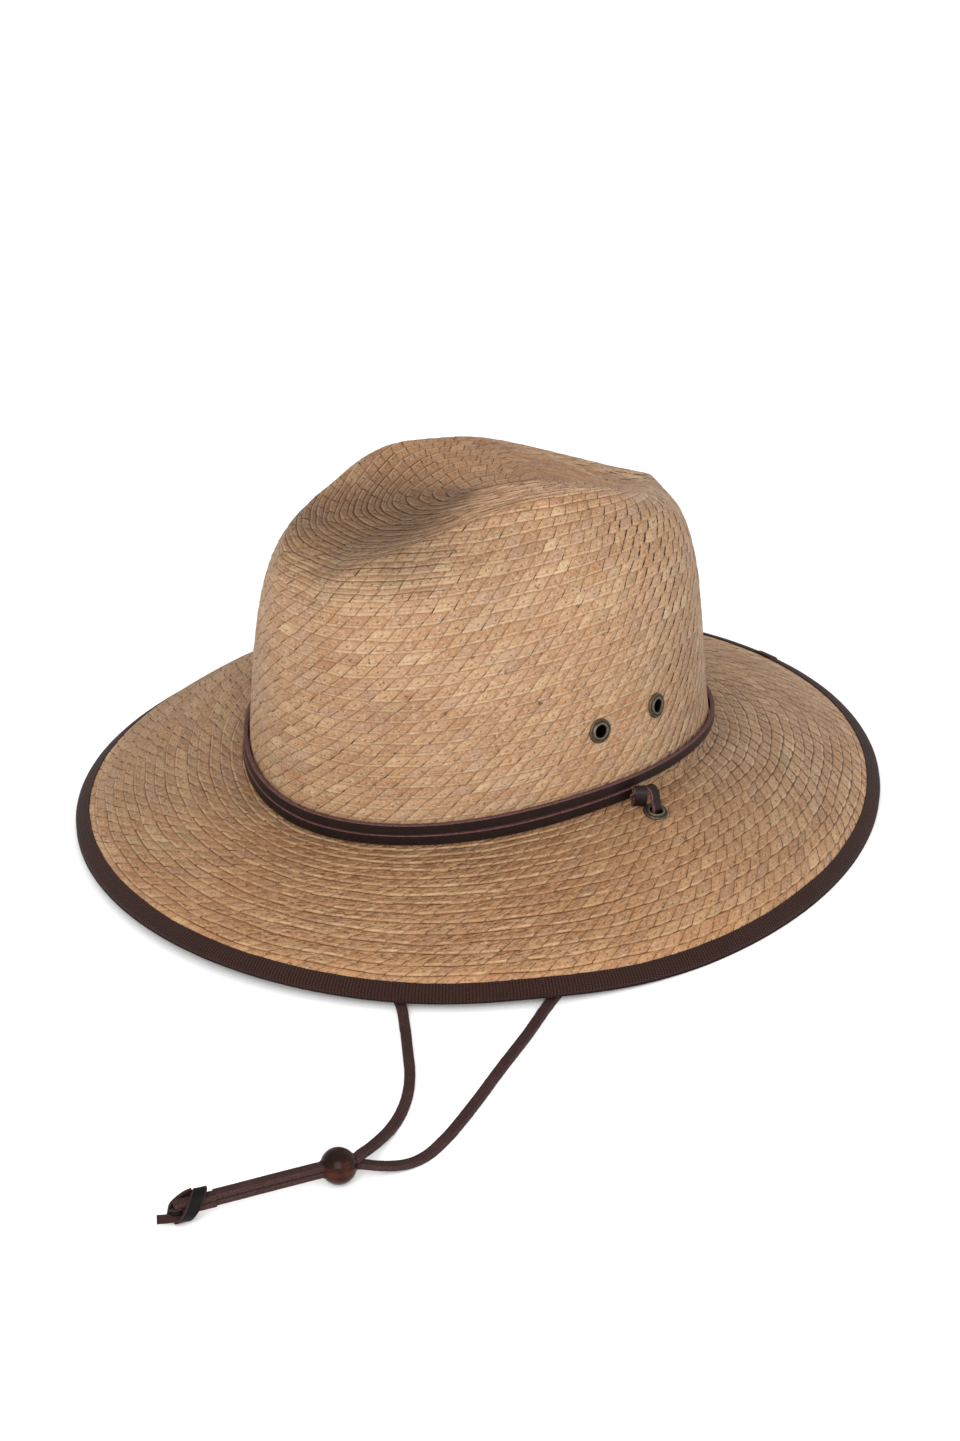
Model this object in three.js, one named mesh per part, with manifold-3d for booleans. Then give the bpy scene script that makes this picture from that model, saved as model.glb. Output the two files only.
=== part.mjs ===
// Straw fedora: one sewn straw shell (crown and brim), a cloth binding round
// the brim, two leather laces round the crown, brass eyelets, and a leather
// chin cord with a wooden bead, laid on the surface the hat rests on.
// Millimetres, +Z up. Front of the hat is -Y, the wearer's left is +X.
// The origin is the centre of the hat's footprint on that surface (z = 0).
import * as THREE from 'three';
import { mergeVertices } from 'three/addons/utils/BufferGeometryUtils.js';
import Module from 'manifold-3d';

const wasm = await Module();
wasm.setup();

// ---------------------------------------------------------------- sizes
const WALL = 2.0;              // straw thickness
const GAP = 0.3;               // clearance between touching pieces
const SEAT_GAP = 0.5;          // under an eyelet's flat flange on the curved straw
const CROWN_HALF_LENGTH = 101.3;
const CROWN_HALF_WIDTH = 86.9;
const CROWN_OVAL_POWER = 1.92; // 2 is an ellipse
const LACE_TOP_Z = 39.5;       // mean height of the upper lace's top edge
const BAND_DEPTH = 10.4;       // from there down to where the brim starts
const FILLET = 2.4;            // bend between crown wall and brim
const BRIM_HALF_LENGTH = 171.7;  // straw edge, inside the binding
const BRIM_HALF_WIDTH = 154.6;
const BRIM_SHIFT_Y = 2.6;
const BRIM_EGG = 0.03;         // wider towards the front
const EDGE_ABOVE_FOOT = 2.3;   // straw edge's top face above the binding's foot
const FRONT_LIFT = 4.4;        // the brim's front edge stands clear of the floor
const FOOT_ANGLE = 78;         // degrees from the front where the edge lands
const CORD_LIFT = { height: 1.5, at: 54, spread: 11 }; // raised over the cord
const BINDING = { width: 6.2, cloth: 0.8 };
const LACE = { height: 4.2, thick: 1.9 };
const CORD = { width: 4.0, thick: 2.2 };
const BEAD = { radius: 6.5, bore: 3.05, flat: 5.4 };
const KNOT = { along: 8.2, across: 7.0, up: 6.0 };
const EYELET = { hole: 2.5, barrel: 3.1, flange: 5.0, lip: 0.9 };
const TIP = { x: 0, y: 14 };   // where the braid's spiral starts
const N_AROUND = 64;
const N_TOP = 8;
const N_WALL = 11;
const N_BRIM = 7;

// The crown at angles from the front (degrees): where its top fold lies
// (x, y, and z above the lace), how high the wall stays upright (share),
// how far it leans in, and the shoulder's reach and drop outside the fold.
const CROWN = [
  { at: 0,    x: 0.0,  y: -92.5,  z: 90.5,  upright: 0.60, lean: 1.2, reach: 8,    drop: 14 },
  { at: 18,   x: 15.0, y: -92.0,  z: 96.0,  upright: 0.62, lean: 2.2, reach: 8,    drop: 18 },
  { at: 36,   x: 25.5, y: -73.0,  z: 102.6, upright: 0.62, lean: 3.0, reach: 16,   drop: 18.5 },
  { at: 58,   x: 33.5, y: -42.0,  z: 106.9, upright: 0.60, lean: 3.1, reach: 22,   drop: 21 },
  { at: 80,   x: 38.3, y: -14.0,  z: 108.6, upright: 0.52, lean: 3.1, reach: 32,   drop: 18 },
  { at: 100,  x: 38.0, y: 10.0,   z: 104.3, upright: 0.54, lean: 3.6, reach: 33,   drop: 15 },
  { at: 122,  x: 35.0, y: 33.0,   z: 98.1,  upright: 0.70, lean: 6.4, reach: 34,   drop: 8.6 },
  { at: 145,  x: 24.0, y: 58.0,   z: 86.1,  upright: 0.75, lean: 9.2, reach: 38.2, drop: 0.5 },
  { at: 163,  x: 11.0, y: 81.8,   z: 77.9,  upright: 0.74, lean: 5.4, reach: 23,   drop: 0.5 },
  { at: 180,  x: 0.0,  y: 96.5,   z: 74.0,  upright: 0.64, lean: 3.2, reach: 9.5,  drop: 0.5 },
];
// The bottom of the centre crease: y, and z above the lace.
const CREASE = [
  { y: -92.5, z: 90.5 }, { y: -80, z: 96.0 }, { y: -65, z: 98.8 }, { y: -45, z: 100.0 },
  { y: -25, z: 100.5 }, { y: 0, z: 97.8 }, { y: 26, z: 93.2 }, { y: 42, z: 88.7 },
  { y: 56, z: 83.0 }, { y: 74, z: 75.9 }, { y: 96.5, z: 74.0 },
];

// ---------------------------------------------------------------- curves
const rad = (d) => d * Math.PI / 180;
const lerp = (a, b, f) => a + (b - a) * f;

// Cubic through table rows, slopes from the neighbouring rows.
function cubic(xs, vs, ms, x) {
  let i = 0;
  while (i < xs.length - 2 && x > xs[i + 1]) i++;
  const h = xs[i + 1] - xs[i];
  const f = Math.min(Math.max((x - xs[i]) / h, 0), 1);
  const f2 = f * f, f3 = f2 * f;
  return (2 * f3 - 3 * f2 + 1) * vs[i] + (f3 - 2 * f2 + f) * h * ms[i]
    + (-2 * f3 + 3 * f2) * vs[i + 1] + (f3 - f2) * h * ms[i + 1];
}
function slopes(xs, vs, first, last) {
  return xs.map((x, i) => {
    if (i === 0) return first !== null ? first : (vs[1] - vs[0]) / (xs[1] - xs[0]);
    if (i === xs.length - 1) return last !== null ? last : (vs[i] - vs[i - 1]) / (x - xs[i - 1]);
    return (vs[i + 1] - vs[i - 1]) / (xs[i + 1] - xs[i - 1]);
  });
}
const AT = CROWN.map((r) => r.at);
const CROWN_FIT = {};
for (const key of ['x', 'y', 'z', 'upright', 'lean', 'reach', 'drop']) {
  const vs = CROWN.map((r) => r[key]);
  // the fold's x runs through zero at the ends, its height has a notch in front
  const ends = { x: [null, null], z: [null, 0] }[key] || [0, 0];
  CROWN_FIT[key] = { vs, ms: slopes(AT, vs, ends[0], ends[1]) };
}
function crownRow(deg) {
  const a = ((deg % 360) + 360) % 360;
  const side = a > 180 ? -1 : 1;
  const m = a > 180 ? 360 - a : a;
  const row = {};
  for (const key in CROWN_FIT) row[key] = cubic(AT, CROWN_FIT[key].vs, CROWN_FIT[key].ms, m);
  row.x *= side;
  return row;
}
const CY = CREASE.map((r) => r.y), CZ = CREASE.map((r) => r.z);
const CM = slopes(CY, CZ, null, null);
const creaseZ = (y) => cubic(CY, CZ, CM, y);

const laceTop = (t) => LACE_TOP_Z - 5.7 * Math.cos(2 * t) + 2.9 * Math.cos(t) + 0.3 * Math.cos(4 * t);
function crownOval(t, grow) {
  const c = Math.cos(t), s = Math.sin(t), n = CROWN_OVAL_POWER;
  const k = (Math.abs(c) ** n + Math.abs(s) ** n) ** (-1 / n);
  return [(CROWN_HALF_WIDTH + grow) * s * k, -(CROWN_HALF_LENGTH + grow) * c * k];
}
function footLift(t) {
  const c0 = Math.cos(rad(FOOT_ANGLE));
  const f = (Math.cos(t) - c0) / (1 - c0);
  let lift = f > 0 ? FRONT_LIFT * f ** 1.15 : 0;
  const deg = THREE.MathUtils.euclideanModulo(THREE.MathUtils.radToDeg(t) + 180, 360) - 180;
  const d = (deg - CORD_LIFT.at) / CORD_LIFT.spread;
  if (f > 0) lift += CORD_LIFT.height * Math.exp(-d * d) * Math.min(1, f * 4);
  return lift;
}
function brimEdge(t) {
  const c = Math.cos(t), s = Math.sin(t);
  return [BRIM_HALF_WIDTH * s * (1 + BRIM_EGG * c), BRIM_SHIFT_Y - BRIM_HALF_LENGTH * c,
    EDGE_ABOVE_FOOT + footLift(t)];
}
// Brim surface from the crown (w = 0) to its edge (w = 1).
function brimPoint(t, w) {
  const [bx, by] = crownOval(t, 0);
  const bz = laceTop(t) - BAND_DEPTH;
  const [ex, ey, ez] = brimEdge(t);
  return new THREE.Vector3(lerp(bx, ex, w), lerp(by, ey, w), lerp(bz, ez, w * w));
}

// Outer surface along one angle: tip, inner slope, fold, wall, bend, brim.
function profile(t) {
  const deg = THREE.MathUtils.radToDeg(t);
  const r = crownRow(deg);
  const fold = new THREE.Vector3(r.x, r.y, LACE_TOP_Z + r.z);
  const rise = r.z - creaseZ(r.y);
  const pts = [];
  const soft = 0.18;
  for (let k = 0; k < N_TOP; k++) {
    const f = k / N_TOP;
    const x = lerp(TIP.x, r.x, f), y = lerp(TIP.y, r.y, f);
    const g = (Math.sqrt(f * f + soft * soft) - soft) / (Math.sqrt(1 + soft * soft) - soft);
    pts.push(new THREE.Vector3(x, y, LACE_TOP_Z + creaseZ(y) + rise * g));
  }
  const [bx, by] = crownOval(t, 0);
  const bz = laceTop(t) - BAND_DEPTH;
  const len = Math.hypot(bx, by);
  const nx = bx / len, ny = by / len;
  const foot = new THREE.Vector3(bx, by, bz + FILLET);
  const H = fold.z - foot.z;
  const c1 = new THREE.Vector3(bx - nx * r.lean, by - ny * r.lean, foot.z + r.upright * H);
  const ox = bx - r.x, oy = by - r.y, ol = Math.hypot(ox, oy);
  const reach = Math.min(r.reach, 0.95 * ol);
  const c2 = new THREE.Vector3(r.x + ox / ol * reach, r.y + oy / ol * reach, fold.z - r.drop);
  const wall = new THREE.CubicBezierCurve3(fold, c2, c1, foot);
  for (let k = 0; k <= N_WALL; k++) pts.push(wall.getPoint(k / N_WALL));
  // bend into the brim
  for (const a of [40, 75]) {
    const out = FILLET * (1 - Math.cos(rad(a))), down = FILLET * Math.sin(rad(a));
    pts.push(new THREE.Vector3(bx + nx * out, by + ny * out, foot.z - down));
  }
  for (let k = 1; k <= N_BRIM; k++) {
    const w = 0.045 + (1 - 0.045) * k / N_BRIM;
    pts.push(brimPoint(t, w));
  }
  return pts;
}

// ---------------------------------------------------------------- meshes
const colour = (hex, roughness, metalness = 0) =>
  new THREE.MeshStandardMaterial({ color: hex, roughness, metalness });
const STRAW = () => colour(0xd2a878, 0.7);
const CLOTH = () => colour(0x3a251f, 0.9);
const LEATHER = () => colour(0x24150f, 0.5);
const SUEDE = () => colour(0x553a33, 0.9);
const BRASS = () => colour(0x6b5b43, 0.45, 0.9);
const WOOD = () => colour(0x4a2a1c, 0.35);

const hat = new THREE.Group();
hat.position.y = -BRIM_SHIFT_Y;   // centres the brim on the origin
function addMesh(name, geometry, material, parent = hat) {
  const mesh = new THREE.Mesh(geometry, material);
  mesh.name = name;
  parent.add(mesh);
  return mesh;
}
function geometryOf(vertices, triangles) {
  const g = new THREE.BufferGeometry();
  g.setAttribute('position', new THREE.Float32BufferAttribute(vertices.flatMap((v) => [v.x, v.y, v.z]), 3));
  g.setIndex(triangles);
  return g;
}
function bare(geometry) {
  const g = geometry.clone();
  for (const name of Object.keys(g.attributes)) if (name !== 'position') g.deleteAttribute(name);
  return mergeVertices(g, 1e-4);
}
function toSolid(geometry, matrix = new THREE.Matrix4()) {
  const g = bare(geometry.clone().applyMatrix4(matrix));
  return new wasm.Manifold(new wasm.Mesh({
    numProp: 3,
    vertProperties: new Float32Array(g.attributes.position.array),
    triVerts: new Uint32Array(g.index.array),
  }));
}
function fromSolid(solid) {
  const m = solid.getMesh();
  const g = new THREE.BufferGeometry();
  g.setAttribute('position', new THREE.Float32BufferAttribute(Array.from(m.vertProperties), 3));
  g.setIndex(Array.from(m.triVerts));
  return g;
}
// Loft through closed section rings; the rings close on themselves, or the
// first and last are capped with fans.
function loft(rings, closed) {
  const n = rings[0].length, vertices = rings.flat(), triangles = [];
  const last = closed ? rings.length : rings.length - 1;
  for (let i = 0; i < last; i++) {
    const a = i * n, b = ((i + 1) % rings.length) * n;
    for (let k = 0; k < n; k++) {
      const k2 = (k + 1) % n;
      triangles.push(a + k, b + k, b + k2, a + k, b + k2, a + k2);
    }
  }
  if (!closed) {
    const end = (rings.length - 1) * n;
    for (let k = 1; k < n - 1; k++) {
      triangles.push(0, k, k + 1);
      triangles.push(end, end + k + 1, end + k);
    }
  }
  return geometryOf(vertices, triangles);
}
function facingOut(geometry) {
  const p = geometry.attributes.position, ix = geometry.index.array;
  let volume = 0;
  const a = new THREE.Vector3(), b = new THREE.Vector3(), c = new THREE.Vector3();
  for (let i = 0; i < ix.length; i += 3) {
    a.fromBufferAttribute(p, ix[i]); b.fromBufferAttribute(p, ix[i + 1]); c.fromBufferAttribute(p, ix[i + 2]);
    volume += a.dot(b.clone().cross(c));
  }
  if (volume < 0) {
    const flipped = [];
    for (let i = 0; i < ix.length; i += 3) flipped.push(ix[i], ix[i + 2], ix[i + 1]);
    geometry.setIndex(flipped);
  }
  return geometry;
}

// ---------------------------------------------------------------- straw
const angles = Array.from({ length: N_AROUND }, (_, i) => 2 * Math.PI * i / N_AROUND);
const grid = angles.map((t) => profile(t));
const ROWS = grid[0].length;
function gridNormal(i, j) {
  const up = grid[(i + 1) % N_AROUND], dn = grid[(i + N_AROUND - 1) % N_AROUND], me = grid[i];
  const ds = me[Math.min(j + 1, ROWS - 1)].clone().sub(me[Math.max(j - 1, 0)]);
  const dt = up[j].clone().sub(dn[j]);
  return ds.cross(dt).normalize();
}
function strawShell() {
  const vertices = [], triangles = [];
  vertices.push(grid[0][0].clone(), grid[0][0].clone().add(new THREE.Vector3(0, 0, -WALL)));
  const outer = (i, j) => (j === 0 ? 0 : 2 + ((i % N_AROUND) * (ROWS - 1) + (j - 1)) * 2);
  const inner = (i, j) => (j === 0 ? 1 : outer(i, j) + 1);
  for (let i = 0; i < N_AROUND; i++) {
    for (let j = 1; j < ROWS; j++) {
      const n = gridNormal(i, j);
      vertices.push(grid[i][j].clone(), grid[i][j].clone().addScaledVector(n, -WALL));
    }
  }
  for (let i = 0; i < N_AROUND; i++) {
    for (let j = 0; j < ROWS - 1; j++) {
      if (j === 0) {
        triangles.push(outer(i, 0), outer(i, 1), outer(i + 1, 1));
        triangles.push(inner(i, 0), inner(i + 1, 1), inner(i, 1));
      } else {
        triangles.push(outer(i, j), outer(i, j + 1), outer(i + 1, j + 1), outer(i, j), outer(i + 1, j + 1), outer(i + 1, j));
        triangles.push(inner(i, j), inner(i + 1, j + 1), inner(i, j + 1), inner(i, j), inner(i + 1, j), inner(i + 1, j + 1));
      }
    }
    const e = ROWS - 1;
    triangles.push(outer(i, e), inner(i, e), inner(i + 1, e), outer(i, e), inner(i + 1, e), outer(i + 1, e));
  }
  return facingOut(geometryOf(vertices, triangles));
}

// ---------------------------------------------------------------- eyelets
// Seats: angle from the front and either height above the lace on the crown
// wall or share of the way out on the brim.
const VENTS = [
  { name: 'vent_eyelet_left_front', at: 79, above: 28.6 },
  { name: 'vent_eyelet_left_rear', at: 97, above: 28.4 },
  { name: 'vent_eyelet_right_front', at: 281, above: 28.6 },
  { name: 'vent_eyelet_right_rear', at: 263, above: 28.4 },
];
const CORD_EYELETS = [
  { name: 'brim_eyelet_left', at: 87, out: 0.198 },
  { name: 'brim_eyelet_right', at: 273, out: 0.198 },
];
function wallSeat(deg, above) {
  const t = rad(deg);
  const point = (tt, z) => {
    const pts = profile(tt).slice(N_TOP);
    for (let k = 0; k < pts.length - 1; k++) {
      if (pts[k].z >= z && pts[k + 1].z <= z) {
        return pts[k].clone().lerp(pts[k + 1], (pts[k].z - z) / (pts[k].z - pts[k + 1].z));
      }
    }
    return pts[0].clone();
  };
  const z = LACE_TOP_Z + above, e = 0.05;
  const p = point(t, z);
  const normal = point(t, z + 4).sub(point(t, z - 4)).cross(point(t + e, z).sub(point(t - e, z))).normalize();
  if (normal.x * p.x + normal.y * p.y < 0) normal.negate();
  return { p, normal };
}
function brimSeat(deg, out) {
  const t = rad(deg), e = 0.03;
  const p = brimPoint(t, out);
  const normal = brimPoint(t, out + e).sub(brimPoint(t, out - e)).cross(brimPoint(t + e, out).sub(brimPoint(t - e, out))).normalize();
  if (normal.z < 0) normal.negate();
  return { p, normal };
}
function seatMatrix({ p, normal }) {
  const q = new THREE.Quaternion().setFromUnitVectors(new THREE.Vector3(0, 1, 0), normal);
  return new THREE.Matrix4().compose(p, q, new THREE.Vector3(1, 1, 1));
}
// Ring with a rounded lip outside, a barrel through the wall and a turned
// rim inside; its axis is Y, and y = 0 is the straw's outer face.
function eyeletGeometry() {
  const { hole, barrel, flange, lip } = EYELET;
  const back = -WALL - SEAT_GAP;
  const section = [
    [hole, back - 0.6], [flange - 0.6, back - 0.6], [flange - 0.4, back], [barrel, back],
    [barrel, SEAT_GAP], [flange, SEAT_GAP], [flange - 0.1, SEAT_GAP + 0.45], [flange - 1.0, SEAT_GAP + lip],
    [hole + 0.6, SEAT_GAP + lip], [hole, SEAT_GAP + 0.3], [hole, back - 0.6],
  ].map(([x, y]) => new THREE.Vector2(x, y));
  return facingOut(bare(new THREE.LatheGeometry(section, 16)));
}
const seats = [
  ...VENTS.map((v) => ({ name: v.name, seat: wallSeat(v.at, v.above) })),
  ...CORD_EYELETS.map((v) => ({ name: v.name, seat: brimSeat(v.at, v.out) })),
];
let straw = toSolid(strawShell());
for (const { seat } of seats) {
  const cutter = new THREE.CylinderGeometry(EYELET.barrel + GAP, EYELET.barrel + GAP, 12, 20);
  straw = straw.subtract(toSolid(cutter, seatMatrix(seat)));
}
addMesh('straw_body', fromSolid(straw), STRAW());
for (const { name, seat } of seats) {
  const mesh = addMesh(name, eyeletGeometry(), BRASS());
  mesh.applyMatrix4(seatMatrix(seat));
}

// ---------------------------------------------------------------- binding
// Cloth folded over the straw edge; the foot is level, so that the hat
// stands on a flat strip.
function bindingRing(i) {
  const t = angles[i], pts = grid[i];
  const edge = pts[ROWS - 1];
  const inward = pts[ROWS - 2].clone().sub(edge).normalize();
  const n = gridNormal(i, ROWS - 1);
  const { width, cloth } = BINDING;
  const at = (p, q) => edge.clone().addScaledVector(inward, p).addScaledVector(n, q);
  const foot = footLift(t);
  const level = (p, q) => { const v = at(p, q); v.z = foot; return v; };
  const top = GAP, under = -WALL - GAP;
  return [
    at(width, top + cloth), at(0.5, top + cloth), at(-0.7, top + 0.1), at(-1.2, -0.9),
    level(-0.9, under - 0.3), level(0.9, under - cloth),
    at(3.0, under - cloth), at(width, under - cloth),
    at(width, under), at(-GAP, under), at(-GAP, top), at(width, top),
  ];
}
addMesh('brim_binding', facingOut(loft(angles.map((_, i) => bindingRing(i)), true)), CLOTH());

// ---------------------------------------------------------------- laces
// Flat leather laces lying against the crown wall, one above the other.
function laceRing(t, drop) {
  const z = laceTop(t) - drop;
  const wallAt = (zz) => {
    const lean = crownRow(THREE.MathUtils.radToDeg(t)).lean;
    const pts = profile(t);
    for (let k = N_TOP; k < pts.length - 1; k++) {
      if (pts[k].z >= zz && pts[k + 1].z <= zz) {
        return pts[k].clone().lerp(pts[k + 1], (pts[k].z - zz) / (pts[k].z - pts[k + 1].z));
      }
    }
    return pts[N_TOP + N_WALL + lean * 0].clone();
  };
  const inside = wallAt(z - LACE.height / 2);
  const e = 0.01;
  const [ax, ay] = crownOval(t + e, 0), [bx, by] = crownOval(t - e, 0);
  const tangent = new THREE.Vector3(ax - bx, ay - by, 0).normalize();
  const n = new THREE.Vector3(tangent.y, -tangent.x, 0);
  if (n.x * inside.x + n.y * inside.y < 0) n.negate();
  const at = (out, up) => {
    const v = inside.clone().addScaledVector(n, GAP + 0.15 + out);
    v.z = z - LACE.height + up;
    return v;
  };
  return [at(0, 0), at(LACE.thick - 0.3, 0), at(LACE.thick, 0.3), at(LACE.thick, LACE.height - 0.3),
    at(LACE.thick - 0.3, LACE.height), at(0, LACE.height)];
}
const LOWER_LACE = { from: -83.5, to: 83.5, drop: LACE.height + GAP };
addMesh('band_lace_upper', facingOut(loft(angles.map((t) => laceRing(t, 0)), true)), LEATHER());
const lowerAngles = Array.from({ length: 33 }, (_, i) => rad(lerp(LOWER_LACE.from, LOWER_LACE.to, i / 32)));
addMesh('band_lace_lower', facingOut(loft(lowerAngles.map((t) => laceRing(t, LOWER_LACE.drop)), false)), LEATHER());

// ---------------------------------------------------------------- cords
// A flat leather cord along a route: broad side up, rounded edges.
function cordSection(width, thick) {
  const a = width / 2, b = thick / 2, s = [];
  for (let k = 0; k < 8; k++) {
    const f = rad(22.5 + 45 * k);
    s.push(new THREE.Vector2(Math.sign(Math.cos(f)) * a * Math.abs(Math.cos(f)) ** 0.6 * 1.0,
      Math.sign(Math.sin(f)) * b * Math.abs(Math.sin(f)) ** 0.6 * 1.0));
  }
  return s;
}
// Section rings carried along the route with the broad side kept level
// where the cord runs flat, and turned with it where it drops.
function cordGeometry(route, side0, steps, width, thick) {
  const curve = new THREE.CatmullRomCurve3(route, false, 'centripetal');
  const rings = [];
  let side = side0.clone();
  for (let i = 0; i <= steps; i++) {
    const p = curve.getPointAt(i / steps), tan = curve.getTangentAt(i / steps);
    const level = new THREE.Vector3(0, 0, 1).cross(tan);
    const flatness = level.length();
    if (flatness > 0.35) {
      level.normalize();
      if (level.dot(side) < 0) level.negate();
      side.lerp(level, Math.min(1, (flatness - 0.35) * 2)).normalize();
    }
    side.addScaledVector(tan, -side.dot(tan)).normalize();
    const up = tan.clone().cross(side).normalize();
    rings.push(cordSection(width, thick).map((s) => p.clone().addScaledVector(side, s.x).addScaledVector(up, s.y)));
  }
  return facingOut(loft(rings, false));
}
const V = (x, y, z) => new THREE.Vector3(x, y, z);
const FLAT = CORD.thick / 2 + 0.05;   // height of a cord's middle on the floor

// Knot of the band's lace above each cord eyelet: a turn round the lower
// lace, and the lead that arches over and drops through the eyelet.
function sideKnot(sign, seat) {
  const turn = new THREE.BoxGeometry(4.6, 8.0, 6.6);
  const place = new THREE.Matrix4().makeTranslation(sign * 92.2, -6.4, 39.2);
  const down = seat.p.clone().addScaledVector(seat.normal, -0.45);
  const above = seat.p.clone().addScaledVector(seat.normal, 3.0);
  const route = [V(sign * 92.4, -4.4, 41.0), V(sign * 94.0, -3.2, 43.2), V(sign * 97.2, -3.4, 42.6),
    V(sign * 99.6, -4.6, 39.6), above, down];
  const lead = cordGeometry(route, V(0, 1, 0), 14, CORD.width * 0.9, CORD.thick * 0.9);
  return fromSolid(toSolid(turn, place).add(toSolid(lead)));
}
const leftSeat = seats.find((s) => s.name === 'brim_eyelet_left').seat;
const rightSeat = seats.find((s) => s.name === 'brim_eyelet_right').seat;
addMesh('side_knot_left', sideKnot(1, leftSeat), LEATHER());
addMesh('side_knot_right', sideKnot(-1, rightSeat), LEATHER());

// Chin cord: two flat leather strands, one from each eyelet, down to the
// surface, out under the raised brim edge, through the bead and on to the
// end knot, one on the other. Columns x, y, z.
const LEFT_STRAND = [
  [101.2, -6.6, 22], [101.8, -7.4, 12], [102.8, -10.0, 5.0], [104.6, -15.5, 1.9],
  [108, -27, FLAT], [114, -46, FLAT], [121.5, -70, FLAT], [129.7, -93.7, FLAT],
  [139.2, -116.1, FLAT], [147.4, -137.2, FLAT], [154.8, -155.4, FLAT], [160.2, -169.2, FLAT],
  [164.8, -182.5, FLAT], [167.4, -194.2, FLAT], [167.1, -202.1, 1.6], [164.9, -208.9, 2.8],
  [162.1, -213.9, 4.1], [160.1, -216.6, 4.9], [158.46, -218.98, 5.35], [157.23, -222.04, 5.35],
  [154.77, -228.16, 5.35], [153.54, -231.22, 5.35], [150.79, -238.09, 5.3], [147.8, -245.5, 5.2],
  [144.8, -252.9, 5.05], [141.85, -260.4, 4.95], [139.4, -266.4, 4.85],
];
const RIGHT_STRAND = [
  [-101.2, -6.6, 22], [-101.4, -7.6, 12], [-100.6, -10.5, 5.0], [-98.2, -16, 1.9],
  [-92, -26, FLAT], [-75, -48, FLAT], [-50, -72, FLAT], [-20, -92, FLAT],
  [12, -106.5, FLAT], [45, -117, FLAT], [70, -124.5, FLAT], [90.3, -133.5, FLAT],
  [104.6, -144.4, FLAT], [115.6, -153.7, FLAT], [126.6, -163.2, FLAT], [135.3, -172.4, FLAT],
  [141.9, -181.6, FLAT], [147.4, -191.6, 1.9], [152.0, -201.6, 3.9], [155.9, -210.6, 6.4],
  [157.6, -215.8, 7.6], [158.46, -218.98, 7.85], [157.23, -222.04, 7.85],
  [154.77, -228.16, 7.85], [153.54, -231.22, 7.85], [150.79, -238.09, 7.8], [147.8, -245.5, 7.7],
  [144.8, -252.9, 7.55], [141.85, -260.4, 7.45], [139.4, -266.4, 7.35],
];
function strand(seat, rows, steps) {
  const start = [0.75, 6].map((d) => seat.p.clone().addScaledVector(seat.normal, -d));
  return cordGeometry([...start, ...rows.map((r) => V(...r))], V(0, 1, 0), steps, CORD.width, CORD.thick);
}
addMesh('chin_cord_left', strand(leftSeat, LEFT_STRAND, 54), SUEDE());
addMesh('chin_cord_right', strand(rightSeat, RIGHT_STRAND, 64), SUEDE());

// Round wooden bead, bored lengthways, its ends ground flat.
const beadArc = [];
for (let k = 0; k <= 8; k++) {
  const a = lerp(-1, 1, k / 8) * Math.asin(BEAD.flat / BEAD.radius);
  beadArc.push(new THREE.Vector2(BEAD.radius * Math.cos(a), BEAD.radius * Math.sin(a)));
}
const beadProfile = [new THREE.Vector2(BEAD.bore, -BEAD.flat), ...beadArc,
  new THREE.Vector2(BEAD.bore, BEAD.flat), new THREE.Vector2(BEAD.bore, -BEAD.flat)];
const bead = addMesh('chin_bead', facingOut(bare(new THREE.LatheGeometry(beadProfile, 18))), WOOD());
bead.position.set(156.0, -225.1, 6.6);
bead.quaternion.setFromUnitVectors(V(0, 1, 0), V(-0.3725, -0.928, 0).normalize());

// End knot: the rounded outer form of the wraps, with one short end.
const knotBall = new THREE.SphereGeometry(1, 14, 10);
const knotPlace = new THREE.Matrix4().compose(V(136.5, -275.5, KNOT.up + 0.1),
  new THREE.Quaternion().setFromAxisAngle(V(0, 0, 1), rad(-22)), V(KNOT.across, KNOT.along, KNOT.up));
const tailEnd = cordGeometry([V(135.6, -276.5, 4.2), V(134.2, -280.2, 3.7), V(132.2, -285.0, 3.2)],
  V(1, 0, 0), 5, CORD.width, CORD.thick);
addMesh('end_knot', fromSolid(toSolid(knotBall, knotPlace).add(toSolid(tailEnd))), LEATHER());

export default hat;
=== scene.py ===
# Straw fedora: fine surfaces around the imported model. Metres, +Z up, the
# front of the hat is -Y, the wearer's left is +X.
import math

import bpy
import numpy as np
from mathutils import Matrix, Vector


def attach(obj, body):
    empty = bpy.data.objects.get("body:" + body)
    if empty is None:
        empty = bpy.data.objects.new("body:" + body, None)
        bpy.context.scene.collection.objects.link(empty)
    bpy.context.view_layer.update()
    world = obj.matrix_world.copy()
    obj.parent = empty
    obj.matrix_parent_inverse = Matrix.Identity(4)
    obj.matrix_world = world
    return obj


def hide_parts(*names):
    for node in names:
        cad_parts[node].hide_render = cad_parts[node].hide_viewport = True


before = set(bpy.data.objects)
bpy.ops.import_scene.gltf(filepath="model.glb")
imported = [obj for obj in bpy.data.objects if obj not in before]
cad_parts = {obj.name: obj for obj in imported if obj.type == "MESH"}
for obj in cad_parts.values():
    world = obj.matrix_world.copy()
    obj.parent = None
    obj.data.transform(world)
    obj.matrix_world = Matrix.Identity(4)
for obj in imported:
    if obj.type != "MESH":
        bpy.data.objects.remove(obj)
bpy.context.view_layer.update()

MM = 0.001
SHIFT_Y = -2.6                    # the model is centred on its brim
rng = np.random.default_rng(7)

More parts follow.
